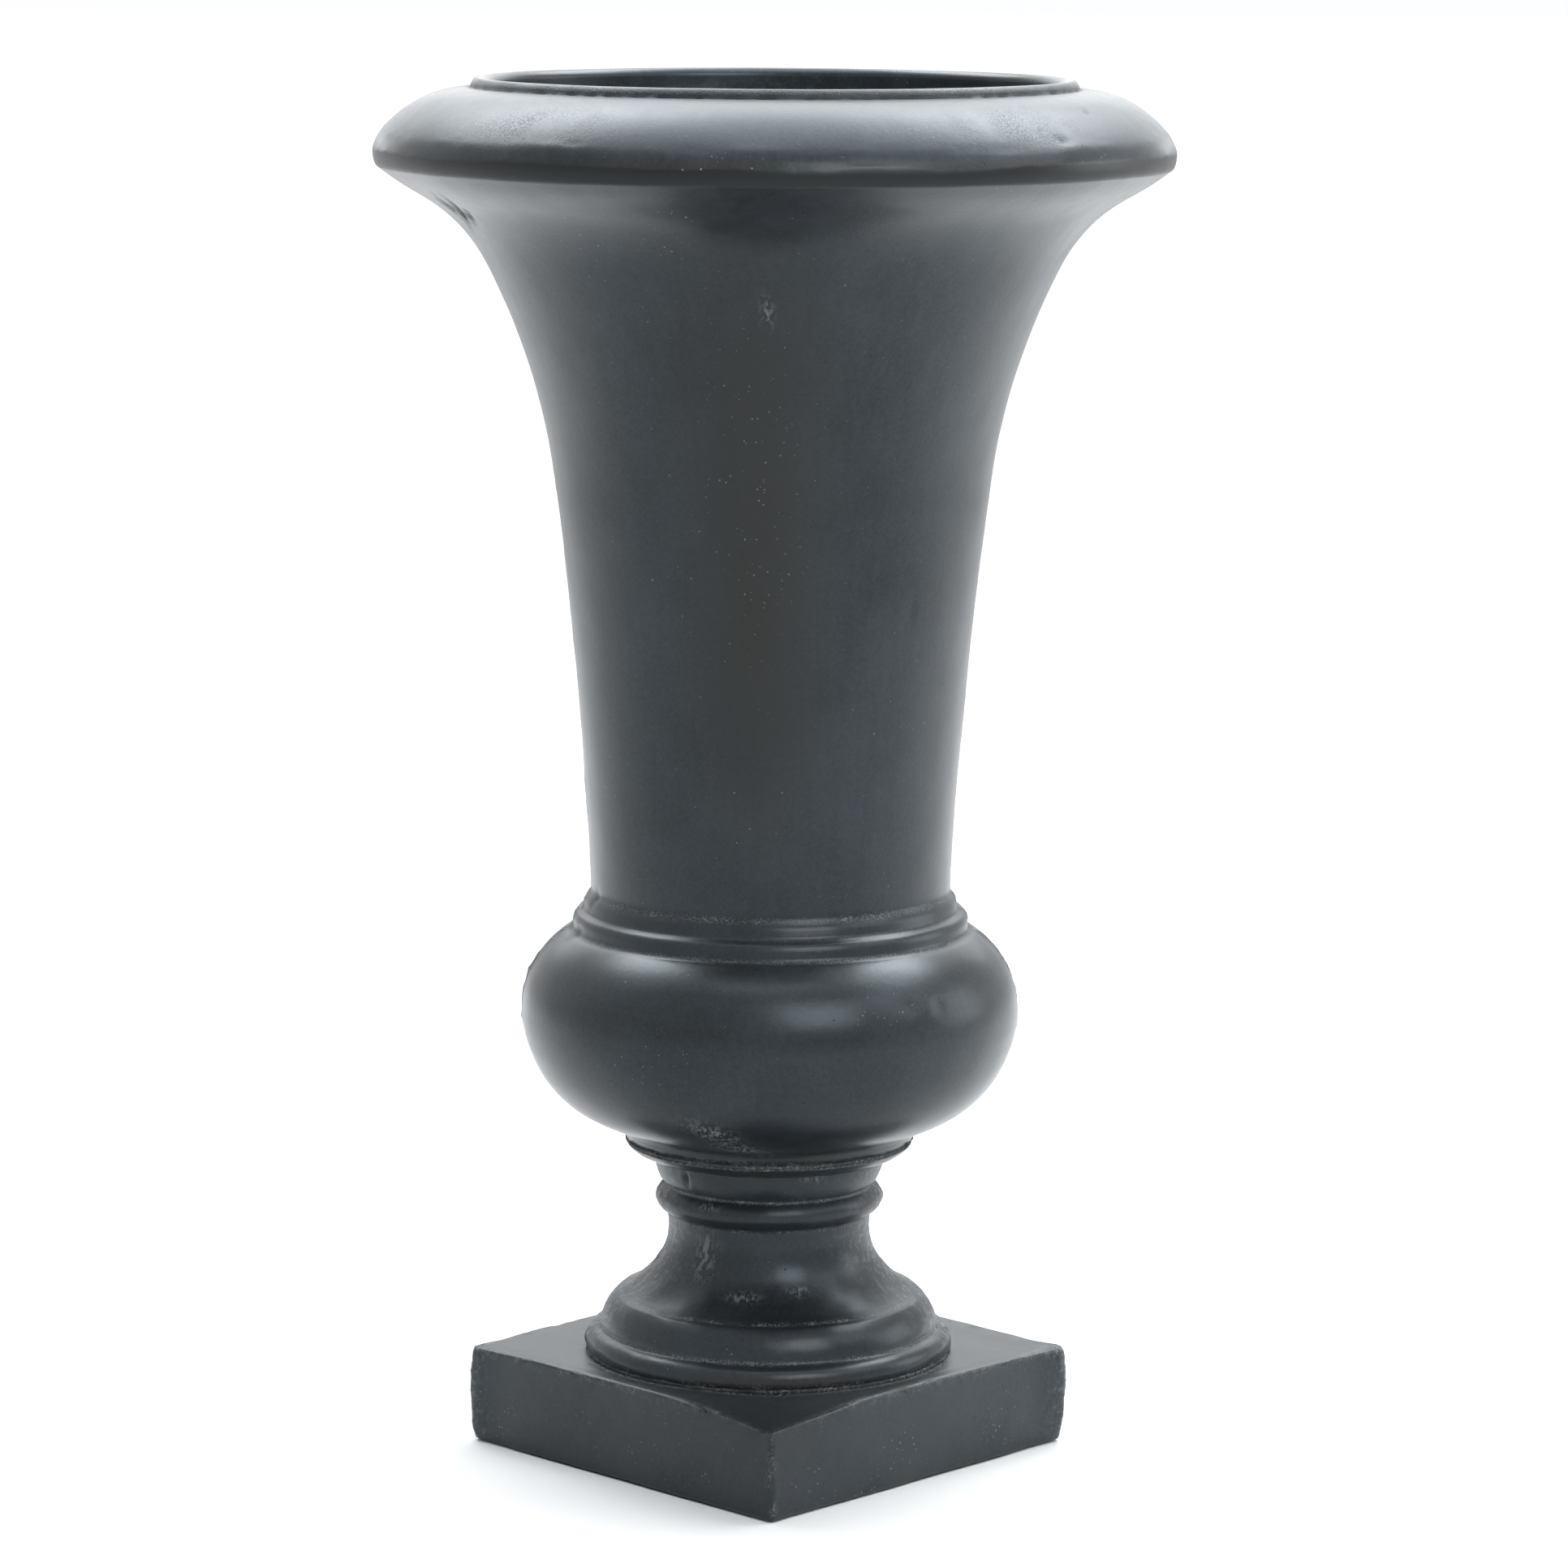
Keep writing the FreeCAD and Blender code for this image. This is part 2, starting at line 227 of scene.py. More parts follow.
def crowded_rows(points, count, crowding, weight=None):
    """Pick rows along a closed outline, closer together where it turns sharply.

    The rows are even in the running sum of (1 + crowding * curvature) * weight.  Columns
    after the first two are carried along.
    """
    way = np.roll(points[:, :2], -1, 0) - np.roll(points[:, :2], 1, 0)
    heading = np.unwrap(np.arctan2(way[:, 1], way[:, 0]))
    length = np.hypot(*way.T) / 2
    turn = np.abs(np.gradient(heading)) / length
    turn = softened(np.stack([turn, turn], 1), 1.5)[:, 0]
    density = (1 + crowding * np.minimum(turn, 0.6)) * length
    if weight is not None:
        density = density * weight
    running = np.concatenate([[0.0], np.cumsum(density)])
    wanted = np.arange(count) / count * running[-1]
    places = np.interp(wanted, running, np.arange(len(points) + 1))
    closed = np.concatenate([points, points[:1]])
    steps = np.arange(len(closed))
    return np.stack([np.interp(places, steps, column) for column in closed.T], 1)


def outline_normals(points):
    """Unit normals of a closed outline, to the right of the way it runs."""
    way = np.roll(points, -1, 0) - np.roll(points, 1, 0)
    way /= np.hypot(*way.T)[:, None]
    return np.stack([way[:, 1], -way[:, 0]], 1)


# ---------------------------------------------------------------------- surface relief

def waves(points, size, seed, count=36):
    """Smooth noise of unit spread: a sum of sine waves with lengths round size."""
    rng = np.random.default_rng(seed)
    ways = rng.normal(size=(count, 3))
    ways /= np.linalg.norm(ways, axis=1)[:, None]
    ways *= 2 * math.pi / (size * rng.uniform(0.65, 1.6, count))[:, None]
    phases = rng.uniform(0, 2 * math.pi, count)
    total = np.zeros(points.shape[:-1])
    for way, phase in zip(ways, phases):
        total += np.cos(points @ way + phase)
    return total * math.sqrt(2 / count)


def ramp(value, span):
    """0 to 1 while a value goes from 0 to span, and held beyond."""
    return np.clip(value / span, 0, 1)


def falloff(value, width):
    """1 where a value is 0, falling off over width either side."""
    return np.exp(-(value / width) ** 2)


def bump_at(points, centre, radius):
    """A bell-shaped bump: 1 at its centre, falling off over radius."""
    return np.exp(-np.sum((points - np.array(centre)) ** 2, axis=-1) / radius ** 2)


def turn_from(angle, centre):
    """Signed angle from centre, between minus pi and pi."""
    return (angle - centre + math.pi) % (2 * math.pi) - math.pi


def band(height, middle, width):
    """1 at a height and falling off over width either side."""
    return falloff(height - middle, width)


def patch(angle, radius, height, mark):
    """A bell-shaped mark on a turned surface, from (degrees right of the front, height,
    half its width, half its height, lean in degrees): exp(-(u / w)^2 - (v / h)^2)."""
    degrees, middle, wide, tall, lean = mark
    across = turn_from(angle, facing(degrees)) * radius
    up = height - middle
    cos, sin = math.cos(math.radians(lean)), math.sin(math.radians(lean))
    along, over = across * cos + up * sin, up * cos - across * sin
    return np.exp(-(along / wide) ** 2 - (over / tall) ** 2)


def patches(angle, radius, height, marks):
    """The largest of several marks."""
    return np.max([patch(angle, radius, height, mark) for mark in marks], axis=0)


def groove_nearness(rows, grooves, width):
    """1 in any of an outline's grooves, given as (radius, height), falling over width."""
    places = np.array(grooves)
    away = np.hypot(rows[:, :1] - places[:, 0], rows[:, 1:] - places[:, 1]).min(1)
    return falloff(away, width)[:, None]


def patchy(points, seed):
    """A share between 0.3 and 1 that comes and goes along a groove."""
    return np.clip(0.65 + 0.35 * waves(points, 14, seed), 0.3, 1.0)


def seam_nearness(angle, radius, width):
    """1 on the mould's seam and falling off over width millimetres either side."""
    nearest = np.minimum(*[np.abs(turn_from(angle, seam)) for seam in SEAM_ANGLES])
    return falloff(nearest * radius, width)


# ---------------------------------------------------------------------- meshes

def grid_faces(rows, columns, close_rows=True):
    """Quads of a grid whose columns close, and whose rows close if asked."""
    last = rows if close_rows else rows - 1
    row = np.arange(last)[:, None]
    column = np.arange(columns)[None, :]
    below, above = row * columns, (row + 1) % rows * columns
    after = (column + 1) % columns
    return np.stack([below + column, below + after, above + after, above + column],
                    -1).reshape(-1, 4)


def make_mesh(name, points, faces, attributes=None):
    """A smooth-shaded mesh object at the origin, from millimetre points."""
    mesh = bpy.data.meshes.new(name)
    flat = points.reshape(-1, 3) * MM
    mesh.vertices.add(len(flat))
    mesh.vertices.foreach_set("co", flat.astype(np.float32).ravel())
    sides = faces.shape[1]
    mesh.loops.add(faces.size)
    mesh.loops.foreach_set("vertex_index", faces.astype(np.int32).ravel())
    mesh.polygons.add(len(faces))
    mesh.polygons.foreach_set("loop_start", np.arange(0, faces.size, sides, dtype=np.int32))
    mesh.polygons.foreach_set("use_smooth", np.ones(len(faces), bool))
    for key, values in (attributes or {}).items():
        layer = mesh.attributes.new(key, "FLOAT", "POINT")
        layer.data.foreach_set("value", np.broadcast_to(values, points.shape[:-1])
                               .astype(np.float32).ravel())
    mesh.update(calc_edges=True)
    mesh.validate()
    piece = bpy.data.objects.new(name, mesh)
    bpy.context.scene.collection.objects.link(piece)
    return piece


def seat(piece, slot, material, *nodes):
    """Give a new piece its material, slot, body and the nodes that it stands for."""
    piece.data.materials.clear()
    piece.data.materials.append(material)
    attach(piece, "root")
    if nodes:
        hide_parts(*nodes)


def turned_places(points, columns):
    """Positions, normals and angles of an outline turned about +Z.

    Column c is the outline at the angle 2 pi c / columns: x = r cos a, y = r sin a.
    """
    angle = np.arange(columns) / columns * 2 * math.pi
    normals = outline_normals(points)
    cos, sin = np.cos(angle), np.sin(angle)
    def swept(pair):
        return np.stack([pair[:, :1] * cos, pair[:, :1] * sin,
                         np.broadcast_to(pair[:, 1:], (len(pair), columns))], -1)
    return swept(points), swept(normals), angle[None, :]


# ---------------------------------------------------------------------- the bowl

BOWL_FOOT = foot_of("bowl")
BOWL_ROWS = 282
BOWL_FLOOR = 23.0
BOWL_OUTSIDE = [                    # radius, height above the bowl's foot, bow
    (73.5, 0.0, 0.0),               # foot, on the filler
    (75.5, 6.5, 12.4),              # underside of the belly
    (126.5, 61.0, 7.9),             # widest part of the belly
    (102.0, 108.5, 0.0),            # groove under the collar
    (100.0, 108.9, 1.4),            # lower ring
    (98.0, 118.0, 0.0),
    (94.8, 118.4, 1.2),             # upper ring
    (92.0, 127.0, 0.0),
    (91.2, 129.0, -2.0),            # foot of the flare
    (108.5, 326.5, -6.6),
    (147.0, 452.5, -1.8),           # flare opens
    (172.0, 477.8, 0.8),
    (199.0, 494.5, 0.5),            # crease under the roll, then its undercut edge
    (200.4, 502.5, 0.4),            # widest line of the roll
    (196.5, 511.0, 5.6),            # shoulder, then the roll's sloping top
    (152.0, 533.2, 0.0),            # foot of the lip
    (151.3, 535.2, 2.8),            # lip's round crown
]
BOWL_INSIDE = [
    (144.5, 535.2, 0.0),            # inner side of the lip
    (144.5, 520.2, -4.0),           # back of the roll's skin
    (180.0, 502.8, 5.9),            # pocket in the roll
    (134.2, 459.8, 7.2),
    (95.5, 328.2, 2.3),
    (78.2, 129.5, 0.0),             # throat
    (90.4, 102.6, -6.4),
    (113.6, 55.0, -6.0),
    (84.0, BOWL_FLOOR, 0.0),        # floor
    (7.0, BOWL_FLOOR, 0.0),         # hole for the tie rod
    (7.0, 7.0, 0.0),
    (47.0, 7.0, 0.0),               # recess over the pedestal's boss
    (47.0, 0.0, 0.0),
]
SHOULDER_HEIGHT, WIDEST_HEIGHT = 511.0, 502.5
BOWL_GROOVES = ((102.0, 108.7), (97.0, 118.2), (92.0, 128.0))
RESIDUE_LINES = BOWL_GROOVES + ((74.0, 0.5),)
LIP_FOOT = ((152.2, 533.3),)
BOWL_DENTS = (                      # degrees, height, half width, half height, lean
    (34.2, 86.8, 5.5, 3.2, -12.0),  # flakes off the belly
    (43.0, 85.4, 3.6, 2.0, 5.0),
    (42.2, 282.0, 2.5, 3.2, 0.0),
    (-88.0, 314.0, 6.0, 16.0, 0.0),     # long chip on the left of the flare
    (-73.0, 127.0, 3.5, 3.0, 0.0),      # hole where the seam meets the collar
    (-75.0, 109.0, 6.0, 3.0, 20.0),
)
ROLL_DENTS = ((45.0, 513.9, 3.0, 1.4, -20.0), (57.0, 526.3, 2.4, 0.7, -10.0),
              (-29.2, 512.5, 1.5, 0.7, 10.0), (150.0, 514.0, 3.5, 1.5, 8.0),
              (-128.0, 520.0, 3.0, 1.2, 0.0))
ROLL_CRACK = ((-66.5, 474.0, 12.0, 1.5, 33.0), (-68.8, 476.6, 5.0, 2.2, 30.0),
              (-64.0, 472.2, 7.0, 0.9, 26.0), (-67.5, 478.6, 6.0, 0.8, 38.0))
BOWL_SCUFFS = ((-15.0, 23.0, 13.0, 5.0, -20.0), (-8.0, 12.0, 12.0, 4.0, -10.0),
               (-1.2, 431.5, 2.4, 6.0, 10.0), (160.0, 90.0, 16.0, 7.0, 30.0))
ROLL_SPARKLE = ((-38.0, 520.0, 44.0, 8.5, 0.0), (38.0, 520.0, 52.0, 8.5, 0.0),
                (125.0, 519.0, 70.0, 9.0, 0.0), (-140.0, 519.0, 60.0, 9.0, 0.0))
BOWL_FLECKS = ((-8.0, 501.0, 18.0, 6.0, 0.0), (52.0, 506.5, 14.0, 3.0, 0.0),
               (-14.0, 478.0, 10.0, 2.5, -12.0))
FAINT_FLECKS = ((-20.0, 462.0, 14.0, 8.0, 0.0), (-6.0, 345.0, 18.0, 60.0, 4.0),
                (30.0, 88.0, 22.0, 9.0, 0.0), (-30.0, 60.0, 26.0, 14.0, 0.0),
                (170.0, 300.0, 40.0, 60.0, 0.0))
INNER_PATCH = (178.0, 505.0, 55.0, 16.0, 0.0)
SLEEVE_CIRCLE = 25.0
SLEEVE_ANGLES = [math.radians(30 + 120 * k) for k in range(3)]
SLEEVE_WELL_RADIUS = 7.3
SLEEVE_WELL_DEPTH = 15.5


def bowl_piece():
    """Bowl: an outline turned about +Z, moved along its normals by the sum of its
    unevenness, seams and dents, with three wells where the drain sleeves stand."""
    casting = settings("casting")
    outline = bowed_outline(BOWL_OUTSIDE + BOWL_INSIDE)
    soft = softened(outline, casting.softness / MM)
    crown = np.argmax(soft[:, 1])
    outer = np.arange(len(soft)) < crown
    opening = ramp(35 - np.abs(soft[:, 1] - 460), 15) * outer
    soft += (softened(outline, 7.0) - soft) * opening[:, None]
    weight = np.where(np.arange(len(soft)) > crown + 60, 0.4, 1.0)
    weight = np.where((soft[:, 0] > 188) & outer, 3.0, weight)
    weight = np.where((soft[:, 1] > 531.5) & (weight == 1.0), 2.5, weight)
    picked = crowded_rows(np.hstack([soft, softened(outline, 5.5)]), BOWL_ROWS, 9.0,
                          weight)
    rows, worn = picked[:, :2], picked[:, 2:]
    places, normals, angle = turned_places(rows, casting.bowl_columns)
    radius, height = rows[:, :1], rows[:, 1:]
    in_front = np.exp(-(turn_from(angle, facing(6)) / 0.50) ** 4)
    easing = band(height, SHOULDER_HEIGHT - 1, 9.0) * (radius > 170) * in_front
    places += (turned_places(worn, casting.bowl_columns)[0] - places) * easing[..., None]
    inside = (np.arange(len(rows)) > np.argmax(rows[:, 1]))[:, None]
    outside = ~inside
    places = places + (0, 0, BOWL_FOOT)
    flat = places * (1, 1, 0)

    rise = casting.waviness / MM * (waves(places, 95, 11) + 0.3 * waves(places, 30, 12))
    rise = rise * (1 - 0.7 * band(height, 535, 7))
    fibres = patch(angle, radius, height, INNER_PATCH) * inside
    rough_inside = 0.35 * waves(places, 28, 18) + fibres * 0.8 * waves(places, 7, 19)
    rise += inside * ramp(528 - height, 10) * rough_inside

    strays = casting.line_wobble / MM * (radius > 185) * outside
    lift = strays * (
        band(height, SHOULDER_HEIGHT, 2.2) * (
            0.25 * waves(flat, 55, 13) + 0.12 * waves(flat, 14, 14))
        + band(height, WIDEST_HEIGHT, 2.0) * (
            0.5 * waves(flat, 60, 41) + 0.25 * waves(flat, 14, 42)))

    seam = seam_nearness(angle, radius, 1.8) * outside
    ragged = seam_nearness(angle, radius, 9.0) * outside

    def marked(marks):
        return patches(angle, radius, height, marks) * outside

    low = ramp(150 - height, 30)
    flash = np.clip(waves(places * (1, 1, 0.5), 30, 15) + 0.2, 0, 1.5)
    rise += seam * flash * (0.3 + 0.5 * low) * casting.seam_height / MM
    rise += ragged * (0.06 + 0.16 * low) * waves(places, 6, 16)

    lip_foot = groove_nearness(rows, LIP_FOOT, 1.0) * outside
    rise -= 0.7 * groove_nearness(rows, BOWL_GROOVES, 0.8) * outside
    rise -= lip_foot * (0.6 + 0.25 * waves(places, 6, 44))
    dents, crack = marked(BOWL_DENTS + ROLL_DENTS), marked(ROLL_CRACK)
    rise -= 0.8 * dents ** 0.7 + 1.8 * crack * (1 + 0.3 * waves(places, 5, 43))

    for place in SLEEVE_ANGLES:
        middle = (SLEEVE_CIRCLE * math.cos(place), SLEEVE_CIRCLE * math.sin(place))
        away = np.hypot(places[..., 0] - middle[0], places[..., 1] - middle[1])
        well = (np.abs(height - BOWL_FLOOR) < 2.0) & inside & (away < SLEEVE_WELL_RADIUS)
        lift = np.where(well, -SLEEVE_WELL_DEPTH, lift)
    rise = np.where(inside & (height < BOWL_FLOOR + 1) & (radius < 70), 0.0, rise)

    points = places + normals * rise[..., None]
    points[..., 2] += lift

    zone = falloff(turn_from(angle, facing(-4)), 0.30)
    zone = zone * ramp(height - 140, 90) * ramp(480 - height, 80)
    # painted shade: the band between the crease and the roll's widest line faces down and is
    # darkened as if in shade
    under = ramp(502.8 - height, 0.8) * (height > 494.0) * (radius > 190)
    # the lip's outer side and the groove at its foot are darkened: partly dark wax and dirt,
    # partly painted shade
    lip_side = (height > 533.5) * ramp(radius - 148.6, 1.2) * outside
    lip_dark_share = np.clip(0.7 + 0.4 * waves(places, 16, 45), 0, 1)
    sparkle = patches(angle, radius, height, ROLL_SPARKLE) * (0.7 + 0.3 * waves(flat, 22, 46))
    attributes = {
        "residue_and_painted_light": groove_nearness(rows, RESIDUE_LINES, 0.8) * outside * patchy(places, 17),
        "umber": zone * outside,
        "grime_and_painted_shade": np.clip(under + 0.6 * (lip_foot + lip_side) * lip_dark_share, 0, 1) * outside,
        # the crack, dents and lip groove: real breakage, whose darker colour is painted shade
        # in these hollows
        "broken": np.clip(crack + 0.5 * dents * (height > 100) + 0.5 * lip_foot, 0, 1),
        "scuff": marked(BOWL_SCUFFS),
        "ragged": np.maximum(ragged * (0.35 + 0.65 * low), fibres),
        "raw": inside * ramp(524 - height, 10),
        # the roll's top: rougher wax, and a lighter colour that is painted light from the
        # lamps above
        "satin_and_painted_light": ramp(height - 508, 4) * (radius > 148),
        "grit": np.clip(sparkle + lip_side, 0, 1) * (height > 509),
        "flecks": np.maximum(marked(BOWL_FLECKS), 0.3 * marked(FAINT_FLECKS)),
    }
    piece = make_mesh("urn_bowl", points, grid_faces(*points.shape[:2]), attributes)
    seat(piece, "graphite_clay", clay_material(), "bowl")


# ---------------------------------------------------------------------- the pedestal

PEDESTAL_FOOT = foot_of("pedestal")
PEDESTAL_ROWS = 250
PEDESTAL_OUTLINE = [                # radius, height above the pedestal's foot, bow
    (94.0, 0.0, 3.0),               # lower torus
    (86.7, 11.0, 2.2),              # upper torus
    (76.7, 28.5, 0.0),
    (73.3, 29.8, -1.3),             # cavetto
    (56.0, 46.8, -2.3),             # lower neck
    (52.0, 71.0, 5.3),              # bead
    (53.7, 86.0, 1.4),              # upper neck
    (58.3, 101.5, 2.5),             # flange
    (73.5, 108.0, 0.0),
    (46.0, 108.0, 0.0),             # boss
    (46.0, 116.0, 0.0),
    (7.0, 116.0, 0.0),              # hole for the tie rod
    (7.0, 94.0, 0.0),
    (34.0, 94.0, 0.0),              # core hole
    (34.0, 0.0, 0.0),
]
PEDESTAL_GROOVES = ((86.7, 11.0), (75.5, 29.0), (52.0, 71.0), (53.7, 86.0), (58.3, 101.5))
JOINT_EDGES = ((94.0, 0.5), (73.0, 107.5))
PEDESTAL_SCUFFS = ((-37.5, 56.8, 6.0, 11.0, 0.0), (-33.0, 82.6, 6.0, 2.0, 0.0),
                   (24.0, 98.9, 7.0, 2.0, -5.0), (15.0, 41.5, 5.0, 1.8, 0.0),
                   (-12.0, 39.0, 8.0, 2.0, 0.0), (140.0, 60.0, 8.0, 9.0, 20.0))


def pedestal_piece():
    """Pedestal: an outline turned about +Z, moved along its normals like the bowl."""
    casting = settings("casting")
    soft = softened(bowed_outline(PEDESTAL_OUTLINE), casting.softness / MM * 0.8)
    rows = crowded_rows(soft, PEDESTAL_ROWS, 6.0)
    places, normals, angle = turned_places(rows, casting.pedestal_columns)
    radius, height = rows[:, :1], rows[:, 1:]
    outside = (radius > 47.5) | (height > 107)
    places = places + (0, 0, PEDESTAL_FOOT)

    rise = casting.waviness / MM * (waves(places, 50, 21) + 0.45 * waves(places, 15, 22))
    seam = seam_nearness(angle, radius, 1.8) * outside
    ragged = seam_nearness(angle, radius, 27.0) * outside
    flash = np.clip(waves(places * (1, 1, 0.5), 14, 23) + 0.7, 0, None)
    rise += seam * flash * 0.5 * casting.seam_height / MM
    rise += ragged * (0.05 * waves(places, 6, 24) + 0.06 * waves(places, 3, 26))
    rise -= 0.7 * groove_nearness(rows, PEDESTAL_GROOVES, 0.8)
    slit = patch(angle, radius, height, (-46.8, 95.3, 1.6, 3.6, 0.0))
    rise = (rise - 1.6 * slit) * outside * (radius > 49)

    edges = groove_nearness(rows, JOINT_EDGES, 0.8) * patchy(places, 28)
    attributes = {
        "residue_and_painted_light": np.maximum(groove_nearness(rows, PEDESTAL_GROOVES, 0.9)
                              * patchy(places, 27), edges) * outside,
        # the slit: its darker colour is painted shade inside it
        "broken": slit * outside,
        "scuff": patches(angle, radius, height, PEDESTAL_SCUFFS) * outside,
        "ragged": ragged, "raw": (radius < 36) * 1.0, "flecks": ragged * 0.3}
    points = places + normals * rise[..., None]
    piece = make_mesh("urn_pedestal", points, grid_faces(*points.shape[:2]), attributes)
    seat(piece, "graphite_clay", clay_material(), "pedestal")


# ---------------------------------------------------------------------- the plinth

PLINTH_FOOT = foot_of("plinth")
PLINTH_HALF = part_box("plinth")[1].x / MM
PLINTH_ROWS = 200
PLINTH_HEIGHT = 48.5
PLINTH_CORNER = 2.5
PLINTH_FLASH = 2.1              # how far the seam's two corners stand out
PLINTH_RIM_RISE = 0.6           # how far the top's edge stands above its middle
PLINTH_DROOPS = {                   # corner's sides: how far it sinks, from how far away
    (1, -1): (4.2, 64.0),           # front
    (1, 1): (1.5, 15.0),            # on the seam, right and left
    (-1, -1): (1.5, 15.0),
    (-1, 1): (2.4, 40.0),
}
PLINTH_HOLE = 26.0
UPSTAND_RADIUS = 33.0
UPSTAND_HEIGHT = 8.0
TORUS_RADIUS = 95.0             # where the pedestal meets the plinth's top
SEAM_CORNER = 107.5             # the seam's two corners, along both X and Y


def rounded_square(half, corner, angle):
    """Distance from the centre to a rounded square's edge, at each angle.

    Straight sides stand at half; the corner arcs are met by solving
    (d cos a - c)^2 + (d sin a - c)^2 = corner^2 for d, with c = half - corner.
    """
    cos, sin = np.abs(np.cos(angle)), np.abs(np.sin(angle))
    flat = half / np.maximum(cos, sin)
    centre = half - corner
    both = cos + sin
    inside_root = np.maximum((centre * both) ** 2 - (2 * centre ** 2 - corner ** 2), 0)
    arc = centre * both + np.sqrt(inside_root)
    short = flat * np.minimum(cos, sin)
    return np.where(short > centre, arc, flat)


def corner_crowded_angles(columns):
    """Angles round a square, closer together at its four corners."""
    even = np.arange(columns) / columns * 2 * math.pi
    return even + 0.16 * np.sin(4 * even)


def plinth_piece():
    """Plinth: for each ring of an outline of (reach, height), a curve that runs from a
    circle at the hole to a rounded square at the sides: d = (1 - s) reach + s square."""
    casting = settings("casting")
    top = PLINTH_HEIGHT
    outline = bowed_outline([
        (PLINTH_HOLE, 0.0, 0.0), (PLINTH_HALF, 0.0, 0.0), (PLINTH_HALF, top, 0.0),
        (UPSTAND_RADIUS, top, 0.0), (UPSTAND_RADIUS, top + UPSTAND_HEIGHT, 0.0),
        (PLINTH_HOLE, top + UPSTAND_HEIGHT, 0.0)])
    soft = softened(outline, 0.55)
    rows = crowded_rows(soft, PLINTH_ROWS, 9.0)
    angle = corner_crowded_angles(casting.plinth_columns)[None, :]
    reach, height = rows[:, :1], rows[:, 1:]
    squareness = ramp(reach - 40, 50)
    squareness = squareness ** 2 * (3 - 2 * squareness)
    square = rounded_square(reach, PLINTH_CORNER, angle)
    distance = (1 - squareness) * reach + squareness * square
    tall = np.broadcast_to(height, distance.shape)
    places = np.stack([distance * np.cos(angle), distance * np.sin(angle), tall], -1)

    x, y = places[..., 0], places[..., 1]
    side = ramp(reach - 100, 6)
    edge_in = PLINTH_HALF - np.maximum(np.abs(x), np.abs(y))
    along = np.minimum(np.abs(x), np.abs(y))
    corner = falloff(PLINTH_HALF - along, 26.0) * (reach > 60)
    on_seam = ramp(x * y, PLINTH_HALF ** 2) * corner
    upper, lower = tall > top * 0.5, tall <= top * 0.5
    droop = -PLINTH_RIM_RISE * ramp(reach - 99, 6)
    for (east, north), (depth, spread) in PLINTH_DROOPS.items():
        away = np.hypot(x - east * PLINTH_HALF, y - north * PLINTH_HALF)
        droop = droop + depth * np.clip(1 - away / spread, 0, 1) ** 1.2 * (reach > 60)
    in_front = np.exp(-((2 * PLINTH_HALF - x + y) / 62.0) ** 4)
    wear = 0.15 + 1.0 * corner + 0.8 * on_seam + 1.8 * in_front
    round_over = wear * np.exp(-edge_in / (1.2 + 3.0 * corner + 3.0 * in_front))
    places[..., 2] -= (droop + round_over) * upper * (tall > top - 1.0)
    from_top = np.clip(top - tall, 0, None)
    tuck = (wear * np.exp(-from_top / (1.4 + 2.5 * corner + 4.0 * in_front))
            + (0.2 + 0.5 * corner + 1.2 * on_seam) * np.exp(-tall / 4.0)
            + 2.2 * on_seam * np.clip(1 - tall / 26.0, 0, 1))
    sunk = droop * ramp(tall - top * 0.55, top * 0.45) * (tall <= top - 1.0)
    places[..., 2] -= sunk * upper * side
    lift = 0.4 * on_seam * np.exp(-tall / 9.0) * side
    places[..., 2] += lift * lower
    pull = 1 - tuck * side * 0.8 / distance
    places[..., :2] *= pull[..., None]
    places = places + (0, 0, PLINTH_FOOT)

    steps = np.roll(places, -1, 1) - np.roll(places, 1, 1)
    climbs = np.roll(places, -1, 0) - np.roll(places, 1, 0)
    normals = np.cross(steps, climbs)
    normals /= np.linalg.norm(normals, axis=-1)[..., None]

    skin = ramp(reach - 60, 6)
    rise = 0.15 * waves(places, 70, 31) + 0.04 * waves(places, 20, 32)
    ragged, flash = [
        np.maximum(*[bump_at(places * (1, 1, 0), (place, place, 0), radius)
                     for place in (-SEAM_CORNER, SEAM_CORNER)]) for radius in (9.0, 14.0)]
    rise += flash * PLINTH_FLASH
    rise += ragged * (0.14 * waves(places, 11, 34) + 0.16 * waves(places, 4, 37))
    rim = np.exp(-edge_in / 2.5) * falloff(from_top, 3.0)
    chips = np.clip(waves(places, 13, 35) - 1.0, 0, None)
    rise -= rim * chips * 1.2
    rise -= np.exp(-tall / 2.0) * side * 0.12 * np.abs(waves(places, 14, 38))
    points = places + normals * (rise * skin)[..., None]
    points[..., 2] -= 0.7 * np.exp(-tall / 3.0) * side
    points[..., 2] = np.maximum(points[..., 2], PLINTH_FOOT - 0.9)

    from_torus = np.hypot(places[..., 0], places[..., 1]) - TORUS_RADIUS
    front = np.hypot(places[..., 0] - PLINTH_HALF, places[..., 1] + PLINTH_HALF)
    residue_and_painted_light = falloff(from_torus, 1.6) * (height > top - 4)
    # partly dust, partly painted light: the plinth's top is made paler, as if lit from above
    dust_and_painted_light = np.clip(0.22 + 0.08 * waves(places, 40, 33), 0, 1) * ramp(front - 40, 60)
    residue_and_painted_light = np.maximum(residue_and_painted_light, dust_and_painted_light * (tall > top - 1.0) * (edge_in > 0.5))
